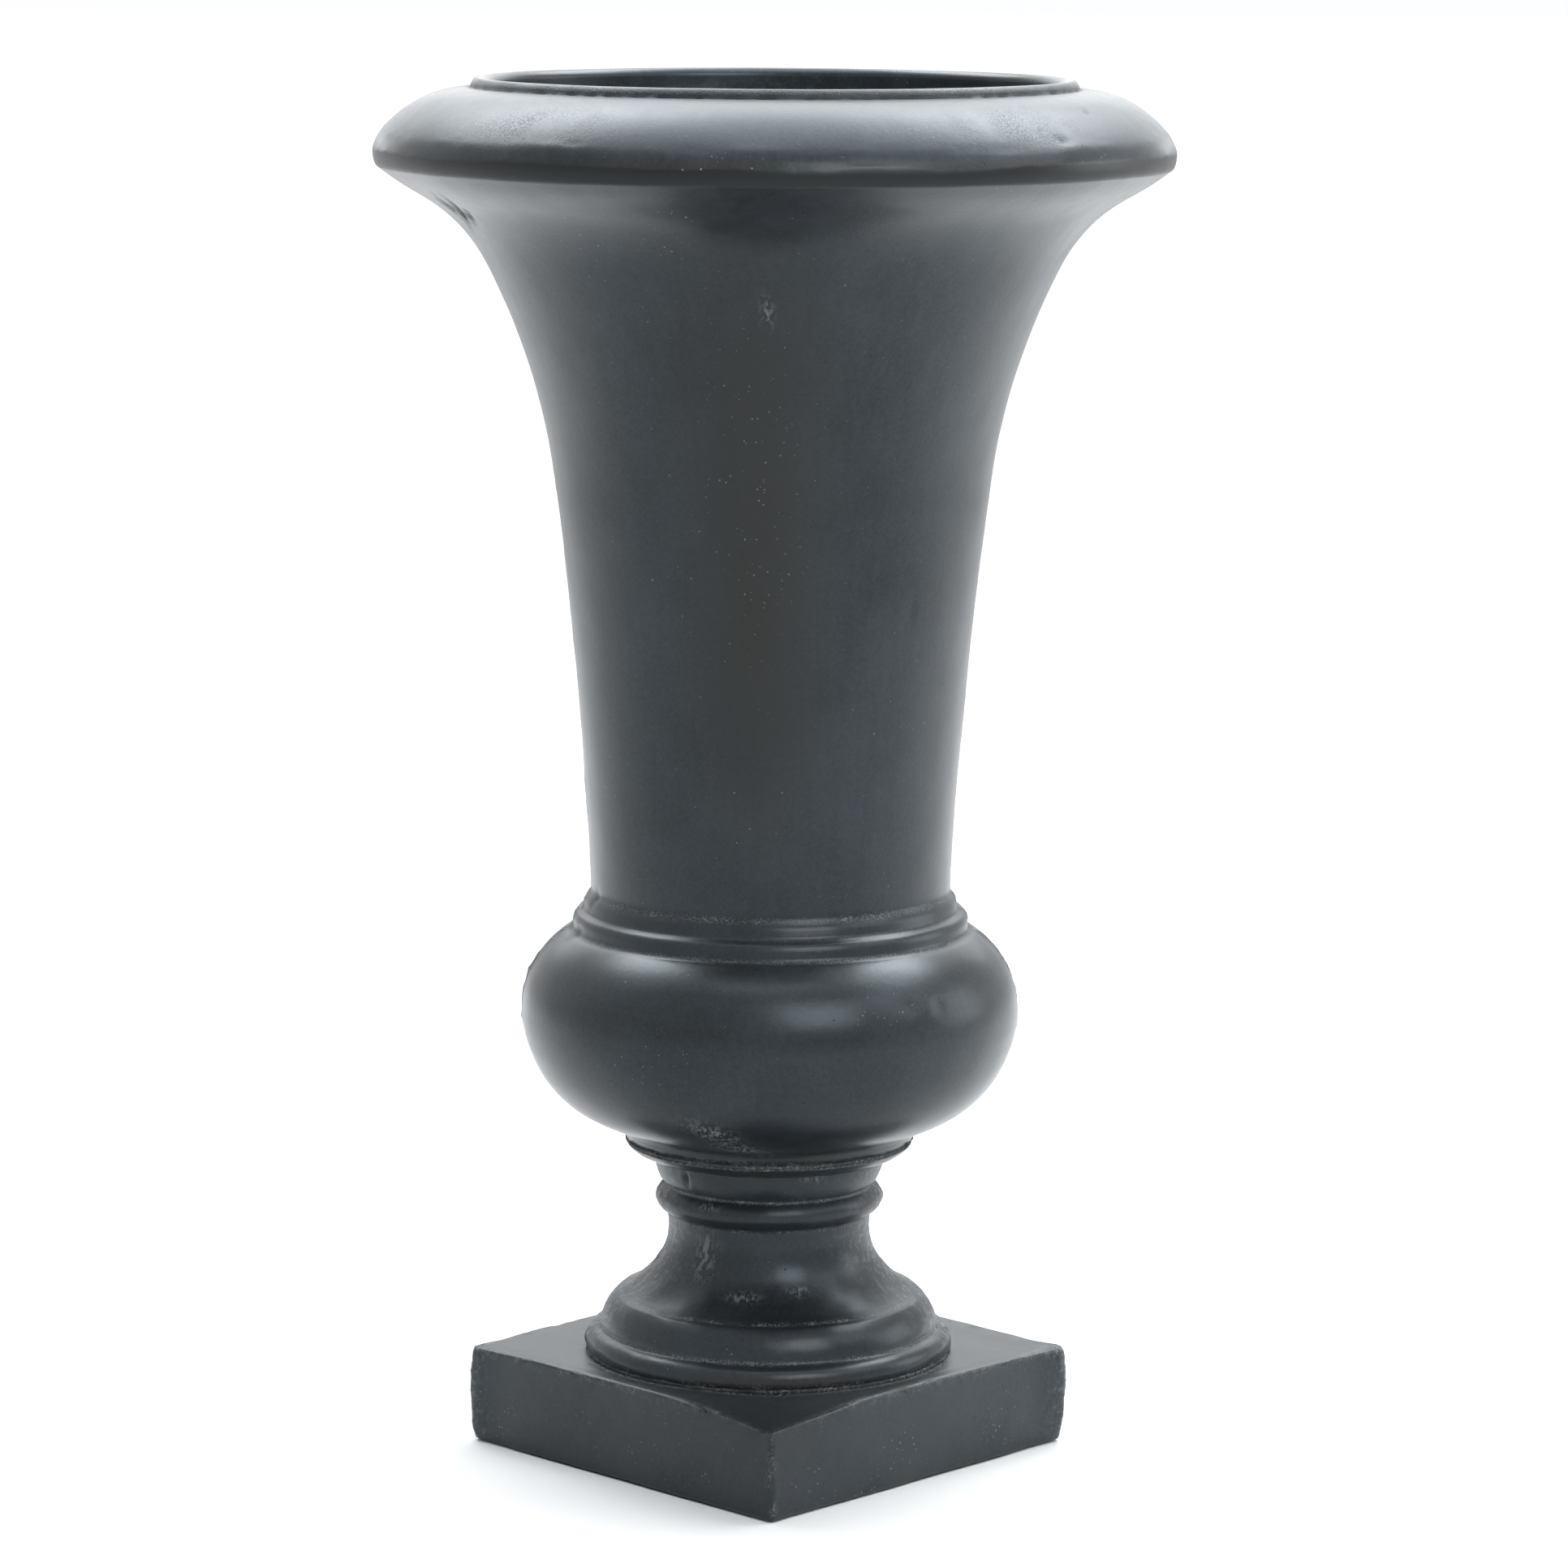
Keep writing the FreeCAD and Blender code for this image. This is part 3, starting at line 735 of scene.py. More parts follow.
    # painted highlight with worn grit: pale along the top's rounded edges, where they catch
    # the light
    residue_and_painted_light = np.maximum(residue_and_painted_light, 0.45 * rim * np.clip(waves(places, 9, 39), 0, 1))
    residue_and_painted_light = np.maximum(residue_and_painted_light, 0.7 * falloff(front, 3.0)
                         * np.clip(0.3 + waves(places, 9, 40), 0, 1))
    attributes = {"residue_and_painted_light": residue_and_painted_light,
                  "umber": 0.2 * (reach > 60) + np.zeros_like(distance),
                  # painted shade: darker round the plinth's front corner, over its drooping
                  # top and down the faces beside it
                  "grime_and_painted_shade": 0.42 * falloff(np.hypot(front, 1.5 * from_top), 50.0),
                  # chips along the top's edges: their darker colour is painted shade in them
                  "broken": np.clip(rim * chips, 0, 1) * 0.6,
                  "ragged": np.clip(0.5 * ragged + 0.3 * rim, 0, 1),
                  "raw": (height < 0.5) * (reach < 90) * 1.0,
                  "plain": np.ones_like(distance),
                  "flecks": np.clip(0.06 + 0.11 * waves(places, 30, 36), 0, 1)}
    piece = make_mesh("urn_plinth", points, grid_faces(*points.shape[:2]), attributes)
    seat(piece, "graphite_clay", clay_material(), "plinth")


# ---------------------------------------------------------------------- filler beds

FILLER_ROWS, FILLER_COLUMNS = 36, 600


def filler_ring(name, node, inner, bulge, seed):
    """Filler in a joint: a flat ring turned about +Z, whose outer edge is pushed out by
    smooth noise at two sizes, as filler squeezed from the joint and wiped roughly."""
    low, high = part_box(node)
    bottom, top, outer = low.z / MM, high.z / MM, high.x / MM
    outline = bowed_outline([(inner, bottom, 0.0), (outer, bottom, 0.9), (outer, top, 0.0),
                             (inner, top, 0.0)], 0.2)
    rows = crowded_rows(softened(outline, 0.4), FILLER_ROWS, 30.0)
    places, normals, _ = turned_places(rows, FILLER_COLUMNS)
    edge = np.clip((rows[:, :1] - outer + 2.5) / 2.5, 0, 1)
    lumps = 0.22 * waves(places, 12, seed) + 0.16 * waves(places, 4.5, seed + 1)
    points = places + normals * (edge * (bulge + lumps))[..., None]
    points[..., 2] = np.maximum(points[..., 2], bottom - 0.3)
    piece = make_mesh(name, points, grid_faces(*points.shape[:2]))
    seat(piece, "joint_filler", filler_material(), node)


# ---------------------------------------------------------------------- the tie rod

ROD_COLUMNS = 40
ROD_ROWS_PER_TURN = 8


def rod_piece():
    """Tie rod: a helical thread.  The radius follows a rounded triangle of the phase
    z / pitch - a / 2 pi, fading to a plain chamfer at both ends."""
    low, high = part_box("tie_rod")
    bottom, top, outer = low.z / MM, high.z / MM, high.x / MM
    pitch = settings("casting").thread_pitch / MM
    depth = 0.6 * pitch
    count = int((top - bottom) / pitch * ROD_ROWS_PER_TURN)
    height = np.linspace(bottom, top, count)[:, None]
    angle = np.arange(ROD_COLUMNS)[None, :] / ROD_COLUMNS * 2 * math.pi
    phase = (height / pitch - angle / (2 * math.pi)) % 1.0
    ridge = np.clip(1.25 * np.abs(2 * phase - 1) - 0.1, 0, 1)
    from_end = np.minimum(height - bottom, top - height)
    radius = outer - depth * (1 - ridge)
    radius = np.minimum(radius, outer - 1.1 + from_end)
    tall = np.broadcast_to(height, radius.shape)
    side = np.stack([radius * np.cos(angle), radius * np.sin(angle), tall], -1)
    caps = [np.full((1, ROD_COLUMNS, 3), (0.0, 0.0, z)) for z in (bottom, top)]
    points = np.concatenate([caps[0], side, caps[1]])
    faces = grid_faces(len(points), ROD_COLUMNS, close_rows=False)
    piece = make_mesh("urn_tie_rod", points, faces)
    merge_doubles(piece)
    seat(piece, "zinc_steel", zinc_material(), "tie_rod")


def merge_doubles(piece):
    """Join the coincident points at a surface's poles and drop the flat faces there."""
    work = bmesh.new()
    work.from_mesh(piece.data)
    bmesh.ops.remove_doubles(work, verts=work.verts, dist=1e-6)
    bmesh.ops.dissolve_degenerate(work, edges=work.edges, dist=1e-7)
    work.to_mesh(piece.data)
    work.free()
    piece.data.polygons.foreach_set("use_smooth", np.ones(len(piece.data.polygons), bool))
    piece.data.update()


def dress_nodes(nodes, material):
    """Give CAD nodes that stay as they are their finish."""
    for name in nodes:
        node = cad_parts[name]
        node.data.materials.clear()
        node.data.materials.append(material)


# ---------------------------------------------------------------------- shader helpers

def fill(tree, made, values):
    """Fill a node's inputs by name or index; a socket is linked."""
    for key, value in values.items():
        if isinstance(value, bpy.types.NodeSocket):
            tree.links.new(value, made.inputs[key])
        else:
            made.inputs[key].default_value = value
    return made


def node(tree, kind, values=None, **options):
    """Add a shader node, set its options and fill its inputs."""
    made = tree.nodes.new(kind)
    for key, value in options.items():
        setattr(made, key, value)
    return fill(tree, made, values or {})


def maths(tree, operation, first, second=0.0, clamp=False):
    """One sum of two values, each a socket or a number."""
    return node(tree, "ShaderNodeMath", {0: first, 1: second}, operation=operation,
                use_clamp=clamp).outputs[0]


def times(tree, first, second):
    return maths(tree, "MULTIPLY", first, second)


def added(tree, *terms, offset=0.0, clamp=True):
    """offset plus each socket times its weight, held between 0 and 1 if asked."""
    total = offset
    for socket, weight in terms:
        total = node(tree, "ShaderNodeMath", {0: socket, 1: weight, 2: total},
                     operation="MULTIPLY_ADD").outputs[0]
    return maths(tree, "MAXIMUM", total, 0.0, clamp=True) if clamp else total


def mixed_value(tree, share, first, second):
    """A number between two, by a share."""
    return node(tree, "ShaderNodeMix", {0: share, 2: first, 3: second},
                data_type="FLOAT").outputs[0]


def mixed(tree, share, first, second):
    """A colour between two, by a share."""
    first, second = [colour if isinstance(colour, bpy.types.NodeSocket) else (*colour, 1.0)
                     for colour in (first, second)]
    return node(tree, "ShaderNodeMix", {0: share, 6: first, 7: second},
                data_type="RGBA").outputs[2]


def shaded(colour, factor):
    return [factor * part for part in colour]


def ranged(tree, value, low, high, to_low=0.0, to_high=1.0, smooth=False):
    """A value carried from one range to another and held at its ends."""
    return node(tree, "ShaderNodeMapRange",
                {"Value": value, "From Min": low, "From Max": high, "To Min": to_low,
                 "To Max": to_high},
                interpolation_type="SMOOTHSTEP" if smooth else "LINEAR").outputs[0]


def attribute(tree, name):
    return node(tree, "ShaderNodeAttribute", attribute_name=name).outputs["Fac"]


def object_place(tree):
    return node(tree, "ShaderNodeTexCoord").outputs["Object"]


def noise(tree, place, scale, detail, roughness):
    return node(tree, "ShaderNodeTexNoise", {
        "Vector": place, "Scale": scale, "Detail": detail, "Roughness": roughness}).outputs[0]


def drawn_out(tree, place, scale, detail, roughness):
    """Noise with a scale of its own along X, Y and Z."""
    place = node(tree, "ShaderNodeMapping", {"Vector": place, "Scale": scale}).outputs[0]
    return noise(tree, place, 1.0, detail, roughness)


def shader_group(name, inputs, outputs):
    """Make a function(group, enter, leave) into one that places its node group in a tree.

    The group is made once.  It takes a Vector and the numbers of inputs, each with its
    default, and puts out the numbers of outputs.
    """
    def made(build):
        group = bpy.data.node_groups.new(name, "ShaderNodeTree")
        sockets = group.interface
        sockets.new_socket("Vector", in_out="INPUT", socket_type="NodeSocketVector")
        for label, default in inputs.items():
            sockets.new_socket(label, in_out="INPUT",
                               socket_type="NodeSocketFloat").default_value = default
        for label in outputs:
            sockets.new_socket(label, in_out="OUTPUT", socket_type="NodeSocketFloat")
        enter, leave = group.nodes.new("NodeGroupInput"), group.nodes.new("NodeGroupOutput")
        build(group, enter.outputs, leave.inputs)
        return group

    def decorate(build):
        def place_in(tree, values):
            group = bpy.data.node_groups.get(name) or made(build)
            return node(tree, "ShaderNodeGroup", values, node_tree=group).outputs
        place_in.__doc__ = build.__doc__
        return place_in
    return decorate


@shader_group("grain", {"Broad scale": 12.0, "Middle scale": 60.0, "Fine scale": 900.0},
              ("Broad", "Middle", "Fine"))
def grain_group(group, enter, leave):
    """Noise at three sizes: Broad clouds, Middle mottle and Fine grain, each round 0.5."""
    for label, detail in (("Broad", 2.0), ("Middle", 3.0), ("Fine", 4.0)):
        tone = noise(group, enter["Vector"], enter[label + " scale"], detail, 0.55)
        group.links.new(tone, leave[label])


@shader_group("specks", {"Scale": 200.0, "Share": 0.1, "Size": 0.2, "Grain": 0.5}, ("Mask",))
def specks_group(group, enter, leave):
    """Scattered flecks: cells of a Voronoi pattern, of which Share carry one.  Their size
    differs from cell to cell, and Grain, a noise round 0.5, frays their edges."""
    cells = node(group, "ShaderNodeTexVoronoi", {
        "Vector": enter["Vector"], "Scale": enter["Scale"], "Randomness": 1.0}).outputs
    random = node(group, "ShaderNodeSeparateColor", {0: cells["Color"]}).outputs
    chosen = maths(group, "LESS_THAN", random[0], enter["Share"])
    size = times(group, enter["Size"], ranged(group, random[1], 0.0, 1.0, 0.45, 1.25))
    ratio = maths(group, "DIVIDE", cells["Distance"], size)
    frayed = added(group, (ratio, 1.0), (enter["Grain"], 2.4), offset=-1.2, clamp=False)
    dot = ranged(group, frayed, 0.6, 1.0, 1.0, 0.0, smooth=True)
    group.links.new(times(group, dot, chosen), leave["Mask"])


@shader_group("streaks", {}, ("Tone",))
def streaks_group(group, enter, leave):
    """Brush marks: noise drawn out level on the belly and upright on the flare."""
    place = enter["Vector"]
    belly, flare = [drawn_out(group, place, scale, 1.0, 0.5)
                    for scale in ((14, 14, 150), (130, 130, 9))]
    height = node(group, "ShaderNodeSeparateXYZ", {0: place}).outputs["Z"]
    on_flare = ranged(group, height, *STREAKS_TURN)
    group.links.new(mixed_value(group, on_flare, belly, flare), leave["Tone"])


def specks(tree, place, grain, scale, share, size):
    """The mask of one layer of flecks, frayed by the material's own grain."""
    return specks_group(tree, {"Vector": place, "Scale": scale, "Share": share,
                               "Size": size, "Grain": grain["Fine"]})["Mask"]


def placed_grain(tree, place, broad, middle, fine):
    return grain_group(tree, {"Vector": place, "Broad scale": broad,
                              "Middle scale": middle, "Fine scale": fine})


def dressed(tree, shader, colour, rough, height, strength=1.0, depth=MM):
    """Lead a colour, a roughness and a relief height to a shader."""
    bump = node(tree, "ShaderNodeBump", {"Height": height, "Strength": strength,
                                         "Distance": depth}).outputs[0]
    fill(tree, shader, {"Base Color": colour, "Roughness": rough, "Normal": bump})


def made_once(name):
    """Make a function(tree, shader) into one that fetches its material, made once."""
    def made(dress):
        material = bpy.data.materials.new(name)
        material.use_nodes = True
        tree = material.node_tree
        tree.nodes.clear()
        shader = tree.nodes.new("ShaderNodeBsdfPrincipled")
        output = tree.nodes.new("ShaderNodeOutputMaterial")
        tree.links.new(shader.outputs[0], output.inputs[0])
        dress(tree, shader)
        return material

    def decorate(dress):
        def fetched():
            return bpy.data.materials.get(name) or made(dress)
        fetched.__doc__ = dress.__doc__
        return fetched
    return decorate


# ---------------------------------------------------------------------- materials

CLAY_MARKS = ("residue_and_painted_light", "umber", "grime_and_painted_shade", "ragged", "raw", "broken", "scuff", "satin_and_painted_light",
              "grit", "plain", "flecks")
STREAKS_TURN = (0.27, 0.32)     # heights in metres between which streaks turn upright
LEAST_ROUGHNESS = 0.28


@made_once("waxed_graphite_clay")
def clay_material(tree, shader):
    """Waxed graphite clay: mottled, streaked, specked and pinholed, with pale residue in
    the grooves, a warmer zone on the flare, ragged seams and raw clay inside.  Its bump
    heights are in millimetres."""
    finish = settings("finish")
    clay, place = finish.clay, object_place(tree)
    marks = {name: attribute(tree, name) for name in CLAY_MARKS}
    grain = placed_grain(tree, place, 16.0, 330.0, 900.0)
    broad, middle, fine = grain["Broad"], grain["Middle"], grain["Fine"]
    streaks = mixed_value(tree, marks["plain"],
                          streaks_group(tree, {"Vector": place})["Tone"], 0.5)
    cluster = ranged(tree, broad, 0.46, 0.64, 0.25, 1.0)
    pale = times(tree, cluster, specks(tree, place, grain, 330.0, 0.16, 0.13))
    flecks = times(tree, marks["flecks"], specks(tree, place, grain, 420.0, 0.32, 0.20))
    # pinholes and pores: sunk by the bump, and darkened in colour as painted shade inside
    # them
    holes = specks(tree, place, grain, 95.0, 0.20, 0.06)
    pores = specks(tree, place, grain, 240.0, 0.12, 0.09)
    hollow = maths(tree, "MAXIMUM", holes, times(tree, pores, 0.8))
    gritty = ranged(tree, fine, 0.46, 0.60)
    pitted = ranged(tree, fine, 0.50, 0.62, smooth=True)
    scratchy = drawn_out(tree, place, (500.0, 500.0, 160.0), 3.0, 0.6)
    # pale grit in grooves, which on the plinth's top and top edges is partly painted light
    dusty_and_lit = times(tree, marks["residue_and_painted_light"], gritty)
    scratched = times(tree, marks["scuff"], ranged(tree, scratchy, 0.48, 0.58))
    scraped = times(tree, marks["ragged"], ranged(tree, middle, 0.54, 0.64))
    warm = times(tree, marks["umber"], ranged(tree, broad, 0.35, 0.6, 0.6, 1.0))
    # broken places are darkened below: painted shade in cracks, chips, dents and grooves
    broken = times(tree, marks["broken"], 0.85)

    # the roll's top is made lighter by its share here: painted light
    share = added(tree, (broad, 1.5), (streaks, 0.4), (middle, 0.6), (fine, 0.9),
                  (marks["satin_and_painted_light"], 0.3), (marks["plain"], 0.35), offset=-1.22)
    colour = mixed(tree, share, shaded(clay, 0.45), shaded(clay, 1.65))
    layers = [(warm, finish.umber),
              (times(tree, marks["ragged"], gritty), shaded(clay, 2.4))]
    layers += [(times(tree, mask, strength), finish.residue_and_painted_light) for mask, strength in (
        (dusty_and_lit, 0.8), (pale, 0.55), (scratched, 0.5), (scraped, 0.5))]
    # the grime layer is painted shade under the roll and at the plinth's front corner, and
    # dirt with painted shade round the lip
    layers += [(flecks, shaded(finish.residue_and_painted_light, 2.2)), (marks["grime_and_painted_shade"], finish.grime_and_painted_shade),
               # broken and hollow darken cracks, chips and pinholes: painted shade
               (marks["raw"], finish.raw_clay), (broken, shaded(clay, 0.4)),
               (hollow, shaded(clay, 0.15))]
    for mask, coat in layers:
        colour = mixed(tree, mask, colour, coat)

    rough = added(tree, (broad, 0.10), (streaks, 0.08), (dusty_and_lit, 0.4),
                  (marks["ragged"], 0.14), (marks["raw"], 0.5), (scratched, 0.25),
                  (broken, 0.35), (marks["satin_and_painted_light"], 0.10), (marks["grime_and_painted_shade"], 0.08),
                  offset=finish.wax_roughness - 0.09)
    rough = maths(tree, "MAXIMUM", rough, LEAST_ROUGHNESS)
    tooth = added(tree, (marks["ragged"], 0.30), (marks["broken"], 0.5),
                  (marks["raw"], 0.25), (marks["residue_and_painted_light"], 0.2), (marks["satin_and_painted_light"], 0.05),
                  (marks["plain"], 0.03), offset=0.03, clamp=False)
    height = added(tree, (times(tree, fine, tooth), 1.0),
                   (times(tree, pitted, marks["grit"]), -0.13), (middle, 0.06),
                   (streaks, 0.006), (hollow, -0.25), (pale, 0.05), (flecks, 0.08),
                   (scratched, 0.08), clamp=False)
    dressed(tree, shader, colour, rough, height)
    fill(tree, shader, {"IOR": 1.5, "Specular Tint": (*finish.wax_tint, 1.0)})


def plain_grain(tree, shader, colour, roughness, metallic, fine_scale, depth):
    """A simple moulded or rolled surface: tone and roughness vary with its grain."""
    grain = placed_grain(tree, object_place(tree), 30.0, 220.0, fine_scale)
    tone = ranged(tree, grain["Middle"], 0.3, 0.7)
    rough = ranged(tree, grain["Broad"], 0.3, 0.7, roughness - 0.06, roughness + 0.08)
    dressed(tree, shader, mixed(tree, tone, shaded(colour, 0.8), shaded(colour, 1.15)),
            rough, grain["Fine"], 0.5, depth)
    shader.inputs["Metallic"].default_value = metallic


@made_once("zinc_plate")
def zinc_material(tree, shader):
    """Zinc plating with a fine crystalline grain."""
    plain_grain(tree, shader, settings("finish").zinc, 0.34, 1.0, 2200.0, 0.05 * MM)


@made_once("black_rubber")
def rubber_material(tree, shader):
    """Matt rubber."""
    plain_grain(tree, shader, settings("finish").rubber, 0.72, 0.0, 1800.0, 0.1 * MM)


@made_once("dark_plastic")
def plastic_material(tree, shader):
    """Moulded plastic with a slight sheen."""
    plain_grain(tree, shader, settings("finish").plastic, 0.42, 0.0, 1600.0, 0.06 * MM)


@made_once("set_filler")
def filler_material(tree, shader):
    """Set filler: dark and lumpy, with pale grit standing out of it in broken runs."""
    finish = settings("finish")
    grain = placed_grain(tree, object_place(tree), 45.0, 650.0, 1400.0)
    runs = ranged(tree, grain["Broad"], 0.45, 0.62, 0.0, 0.7)
    grit = times(tree, runs, ranged(tree, grain["Middle"], 0.48, 0.62))
    colour = mixed(tree, ranged(tree, grain["Fine"], 0.35, 0.65),
                   shaded(finish.filler, 0.7), shaded(finish.filler, 1.3))
    height = added(tree, (grain["Fine"], 0.3), (grit, 0.25), clamp=False)
    dressed(tree, shader, mixed(tree, grit, colour, finish.residue_and_painted_light),
            ranged(tree, grain["Fine"], 0.3, 0.7, 0.7, 0.9), height)


# ---------------------------------------------------------------------- stage

def level(degrees):
    """Unit vector along the floor, so many degrees right of the photograph's front."""
    angle = facing(degrees)
    return Vector((math.cos(angle), math.sin(angle), 0.0))


def add_camera():
    """The camera that the photograph's plinth, rim and axis were fitted to."""
    stage = settings("stage")
    camera = bpy.data.cameras.new("camera")
    camera.sensor_width = 36.0
    camera.lens = 18.0 / math.tan(stage.camera_view / 2)
    camera.clip_start, camera.clip_end = 0.1, 200.0
    holder = bpy.data.objects.new("camera", camera)
    bpy.context.scene.collection.objects.link(holder)
    right, back, up = level(90), level(0), Vector((0, 0, 1))
    tilt, roll = stage.camera_tilt, stage.camera_roll
    tilted_up = up * math.cos(tilt) - back * math.sin(tilt)
    rolled_right = right * math.cos(roll) + tilted_up * math.sin(roll)
    rolled_up = tilted_up * math.cos(roll) - right * math.sin(roll)
    behind = rolled_right.cross(rolled_up)
    turn = Matrix((rolled_right, rolled_up, behind)).transposed().to_4x4()
    place = back * stage.camera_distance + right * stage.camera_offset
    holder.matrix_world = Matrix.Translation(place + up * stage.camera_height) @ turn
    bpy.context.scene.camera = holder


def add_lamp(name, degrees, elevation, size, brightness):
    """A square soft lamp, placed about the urn and turned to a point on its axis.

    A face of brightness B and side s gives B pi s^2 watts.
    """
    lamp = bpy.data.lights.new(name, "AREA")
    lamp.shape, lamp.size = "SQUARE", size
    lamp.energy = brightness * math.pi * size ** 2
    lamp.color = (0.95, 0.98, 1.0)
    holder = bpy.data.objects.new(name, lamp)
    bpy.context.scene.collection.objects.link(holder)
    rise = math.radians(elevation)
    target = Vector((0, 0, LAMP_AIM))
    way = level(degrees) * math.cos(rise) + Vector((0, 0, 1)) * math.sin(rise)
    holder.location = target + way * LAMP_DISTANCE
    holder.rotation_euler = way.to_track_quat("Z", "Y").to_euler()


def seen_directly(tree):
    """1 for rays from the camera, from mirrors and through glass, which see the paper."""
    path = node(tree, "ShaderNodeLightPath").outputs
    either = maths(tree, "MAXIMUM", path["Is Camera Ray"], path["Is Glossy Ray"])
    return maths(tree, "MAXIMUM", either, path["Is Transmission Ray"])


def add_world():
    """White paper all round, whose light on the urn is weakest from the camera's left."""
    stage = settings("stage")
    world = bpy.data.worlds.new("studio")
    bpy.context.scene.world = world
    world.use_nodes = True
    tree = world.node_tree
    tree.nodes.clear()
    way = node(tree, "ShaderNodeTexCoord").outputs["Generated"]
    toward = node(tree, "ShaderNodeVectorMath", {0: way, 1: tuple(level(DIM_SIDE))},
                  operation="DOT_PRODUCT").outputs["Value"]
    ambient = ranged(tree, toward, -0.5, 0.8, stage.back_light, stage.front_light)
    strength = mixed_value(tree, seen_directly(tree), ambient, 1.0)
    light = node(tree, "ShaderNodeBackground", {"Color": (0.985, 0.992, 1.0, 1.0),
                                                "Strength": strength})
    output = tree.nodes.new("ShaderNodeOutputWorld")
    tree.links.new(light.outputs[0], output.inputs[0])


def add_floor():
    """Round pale floor.  Directly seen it adds enough light of its own to look white,
    and what the lamps and shadows do stays on top of that."""
    radius = settings("stage").floor_radius
    corner = np.arange(FLOOR_SIDES)
    angle = corner / FLOOR_SIDES * 2 * math.pi
    rings = np.array([0.02, 1.0, 4.0, radius])[:, None]
    points = np.stack([rings * np.cos(angle), rings * np.sin(angle),
                       np.zeros((4, FLOOR_SIDES))], -1) / MM
    floor = make_mesh("floor", points, grid_faces(4, FLOOR_SIDES, close_rows=False))
    middle = make_mesh("floor_middle", points[0], corner[None, :])
    for part in (floor, middle):
        part.data.materials.append(floor_material())


@made_once("pale_floor")
def floor_material(tree, shader):
    """Pale paper.  Seen directly it glows by itself, more so the farther it lies."""
    stage = settings("stage")
    away = node(tree, "ShaderNodeVectorMath", {0: object_place(tree)},
                operation="LENGTH").outputs["Value"]
    own = ranged(tree, away, 0.5, 2.0, stage.floor_glow, stage.far_glow, smooth=True)
    own = times(tree, own, ranged(tree, away, 0.12, 0.2))
    fill(tree, shader, {
        "Base Color": (0.62, 0.625, 0.63, 1.0), "Roughness": 0.9,
        "Specular IOR Level": 0.1, "Emission Color": (0.98, 0.99, 1.0, 1.0),
        "Emission Strength": times(tree, own, seen_directly(tree))})


# degrees right of the front, elevation, size of the square, brightness of its face
LAMPS = {
    "key": (25, 32, 0.95, 5.8),
    "front_right": (70, 35, 0.9, 1.8),
    "right": (105, 55, 0.9, 6.2),
    "right_low": (100, 12, 0.9, 2.6),
    "back_right": (135, 55, 0.9, 10.0),
    "back": (180, 60, 1.2, 5.0),
    "back_left": (-135, 55, 0.9, 10.6),
    "left": (-105, 55, 0.9, 1.6),
    "low_back_right": (155, 25, 0.9, 1.6),
    "low_back": (180, 25, 0.9, 1.8),
    "low_back_left": (-155, 25, 0.9, 1.6),
    "overhead": (0, 85, 1.2, 4.0),
}
FLOOR_SIDES = 96
LAMP_DISTANCE = 2.0
LAMP_AIM = 0.35                 # height on the axis that the lamps are turned to
DIM_SIDE = -45                  # degrees right of the front


# ---------------------------------------------------------------------- operators

class URN_OT_stage(bpy.types.Operator):
    """Add the camera, lamps, surroundings and floor"""
    bl_idname = "urn.stage"
    bl_label = "Stage"

    def execute(self, context):
        context.scene.view_settings.view_transform = "Standard"
        add_camera()
        add_world()
        add_floor()
        for name, (degrees, elevation, size, brightness) in LAMPS.items():
            add_lamp(name + "_lamp", degrees, elevation, size,
                     brightness * settings("stage").lamp_level)
        return {"FINISHED"}


class URN_OT_bowl(bpy.types.Operator):
    """Make the bowl's finished surface"""
    bl_idname = "urn.bowl"
    bl_label = "Bowl"

    def execute(self, context):
        bowl_piece()
        return {"FINISHED"}


class URN_OT_pedestal(bpy.types.Operator):
    """Make the pedestal's finished surface"""
    bl_idname = "urn.pedestal"
    bl_label = "Pedestal"

    def execute(self, context):
        pedestal_piece()
        return {"FINISHED"}


class URN_OT_plinth(bpy.types.Operator):
    """Make the plinth's finished surface"""
    bl_idname = "urn.plinth"
    bl_label = "Plinth"

    def execute(self, context):
        plinth_piece()
        return {"FINISHED"}


class URN_OT_filler(bpy.types.Operator):
    """Make the uneven filler in the two joints"""
    bl_idname = "urn.filler"
    bl_label = "Filler beds"

    def execute(self, context):
        filler_ring("urn_bowl_filler", "bowl_bed", 47.0, 0.5, 51)
        filler_ring("urn_plinth_filler", "plinth_bed", 34.0, 0.9, 61)
        return {"FINISHED"}


class URN_OT_rod(bpy.types.Operator):
    """Make the threaded tie rod"""
    bl_idname = "urn.rod"
    bl_label = "Tie rod"

    def execute(self, context):
        rod_piece()
        return {"FINISHED"}


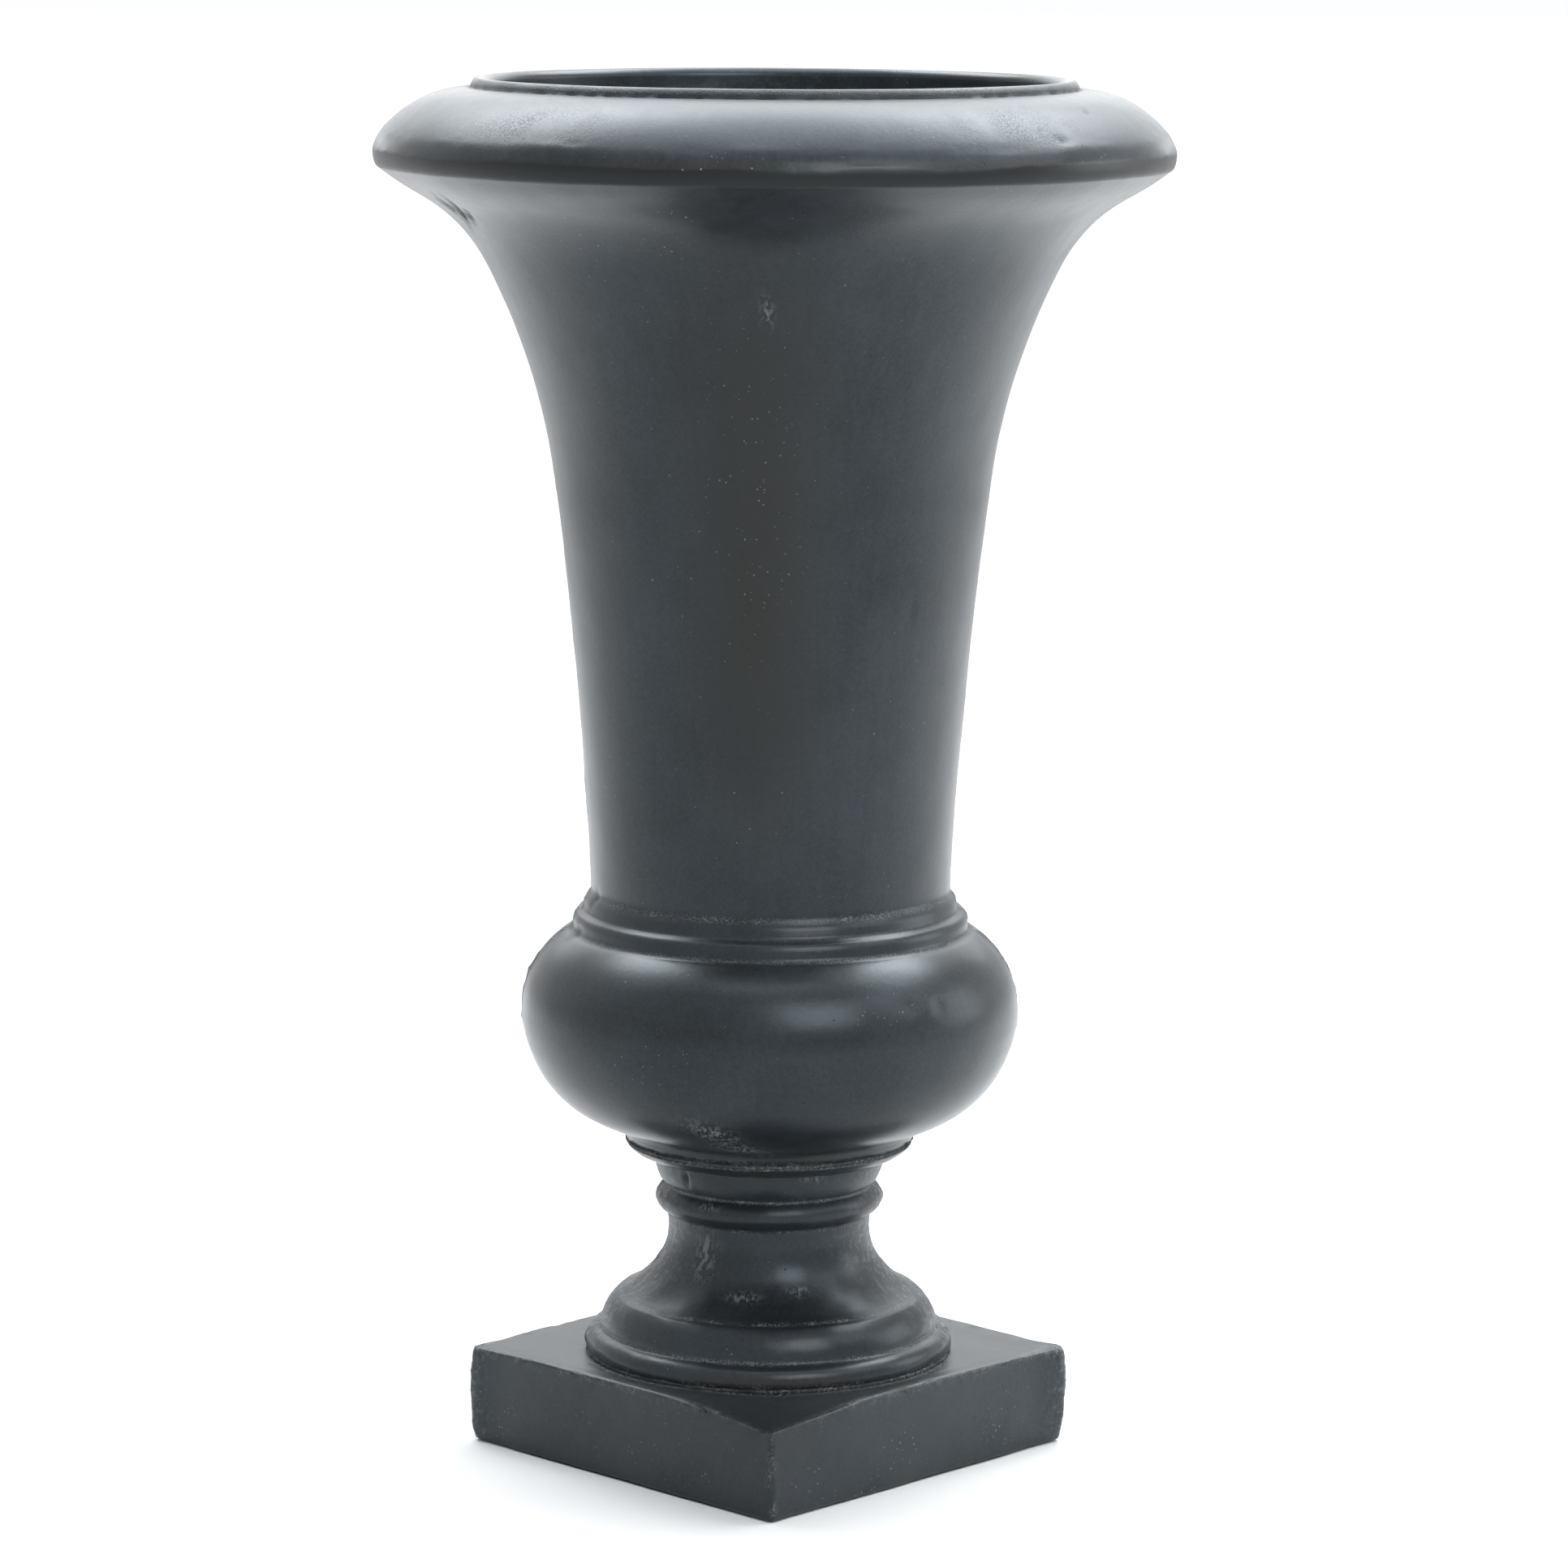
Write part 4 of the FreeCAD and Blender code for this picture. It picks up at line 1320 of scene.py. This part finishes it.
class URN_OT_hardware(bpy.types.Operator):
    """Finish the nuts, washers, anchor bar, drain sleeves and pads"""
    bl_idname = "urn.hardware"
    bl_label = "Hardware"

    def execute(self, context):
        dress_nodes(("plate_washer", "top_nut", "jam_nut", "anchor_bar", "anchor_washer",
                     "anchor_nut"), zinc_material())
        dress_nodes(["seal_washer"] + ["foot_pad_%d" % n for n in (1, 2, 3, 4)],
                    rubber_material())
        dress_nodes(["drain_sleeve_%d" % n for n in (1, 2, 3)], plastic_material())
        return {"FINISHED"}


class URN_PT_panel(bpy.types.Panel):
    """The urn's operators and settings in the 3D view's sidebar"""
    bl_idname = "URN_PT_panel"
    bl_label = "Urn planter"
    bl_space_type = "VIEW_3D"
    bl_region_type = "UI"
    bl_category = "Urn"

    def draw(self, context):
        for group in ("casting", "finish", "stage"):
            box = self.layout.box()
            box.label(text=group.capitalize())
            holder = getattr(context.scene, "urn_" + group)
            for name in holder.bl_rna.properties.keys():
                if name not in ("rna_type", "name"):
                    box.prop(holder, name)
        for operator in OPERATORS:
            self.layout.operator(operator.bl_idname)


OPERATORS = (URN_OT_stage, URN_OT_bowl, URN_OT_pedestal, URN_OT_plinth, URN_OT_filler,
             URN_OT_rod, URN_OT_hardware)
GROUPS = {"casting": UrnCasting, "finish": UrnFinish, "stage": UrnStage}


def register():
    for group in GROUPS.values():
        bpy.utils.register_class(group)
    for name, group in GROUPS.items():
        setattr(bpy.types.Scene, "urn_" + name, PointerProperty(type=group))
    for operator in OPERATORS:
        bpy.utils.register_class(operator)
    bpy.utils.register_class(URN_PT_panel)


def unregister():
    bpy.utils.unregister_class(URN_PT_panel)
    for operator in reversed(OPERATORS):
        bpy.utils.unregister_class(operator)
    for name, group in reversed(GROUPS.items()):
        delattr(bpy.types.Scene, "urn_" + name)
        bpy.utils.unregister_class(group)


def main():
    """Build everything in order and write the CAD box and the finished box."""
    register()
    bpy.ops.urn.stage()
    bpy.ops.urn.bowl()
    bpy.ops.urn.pedestal()
    bpy.ops.urn.plinth()
    bpy.ops.urn.filler()
    bpy.ops.urn.rod()
    bpy.ops.urn.hardware()


if __name__ == "__main__":
    main()
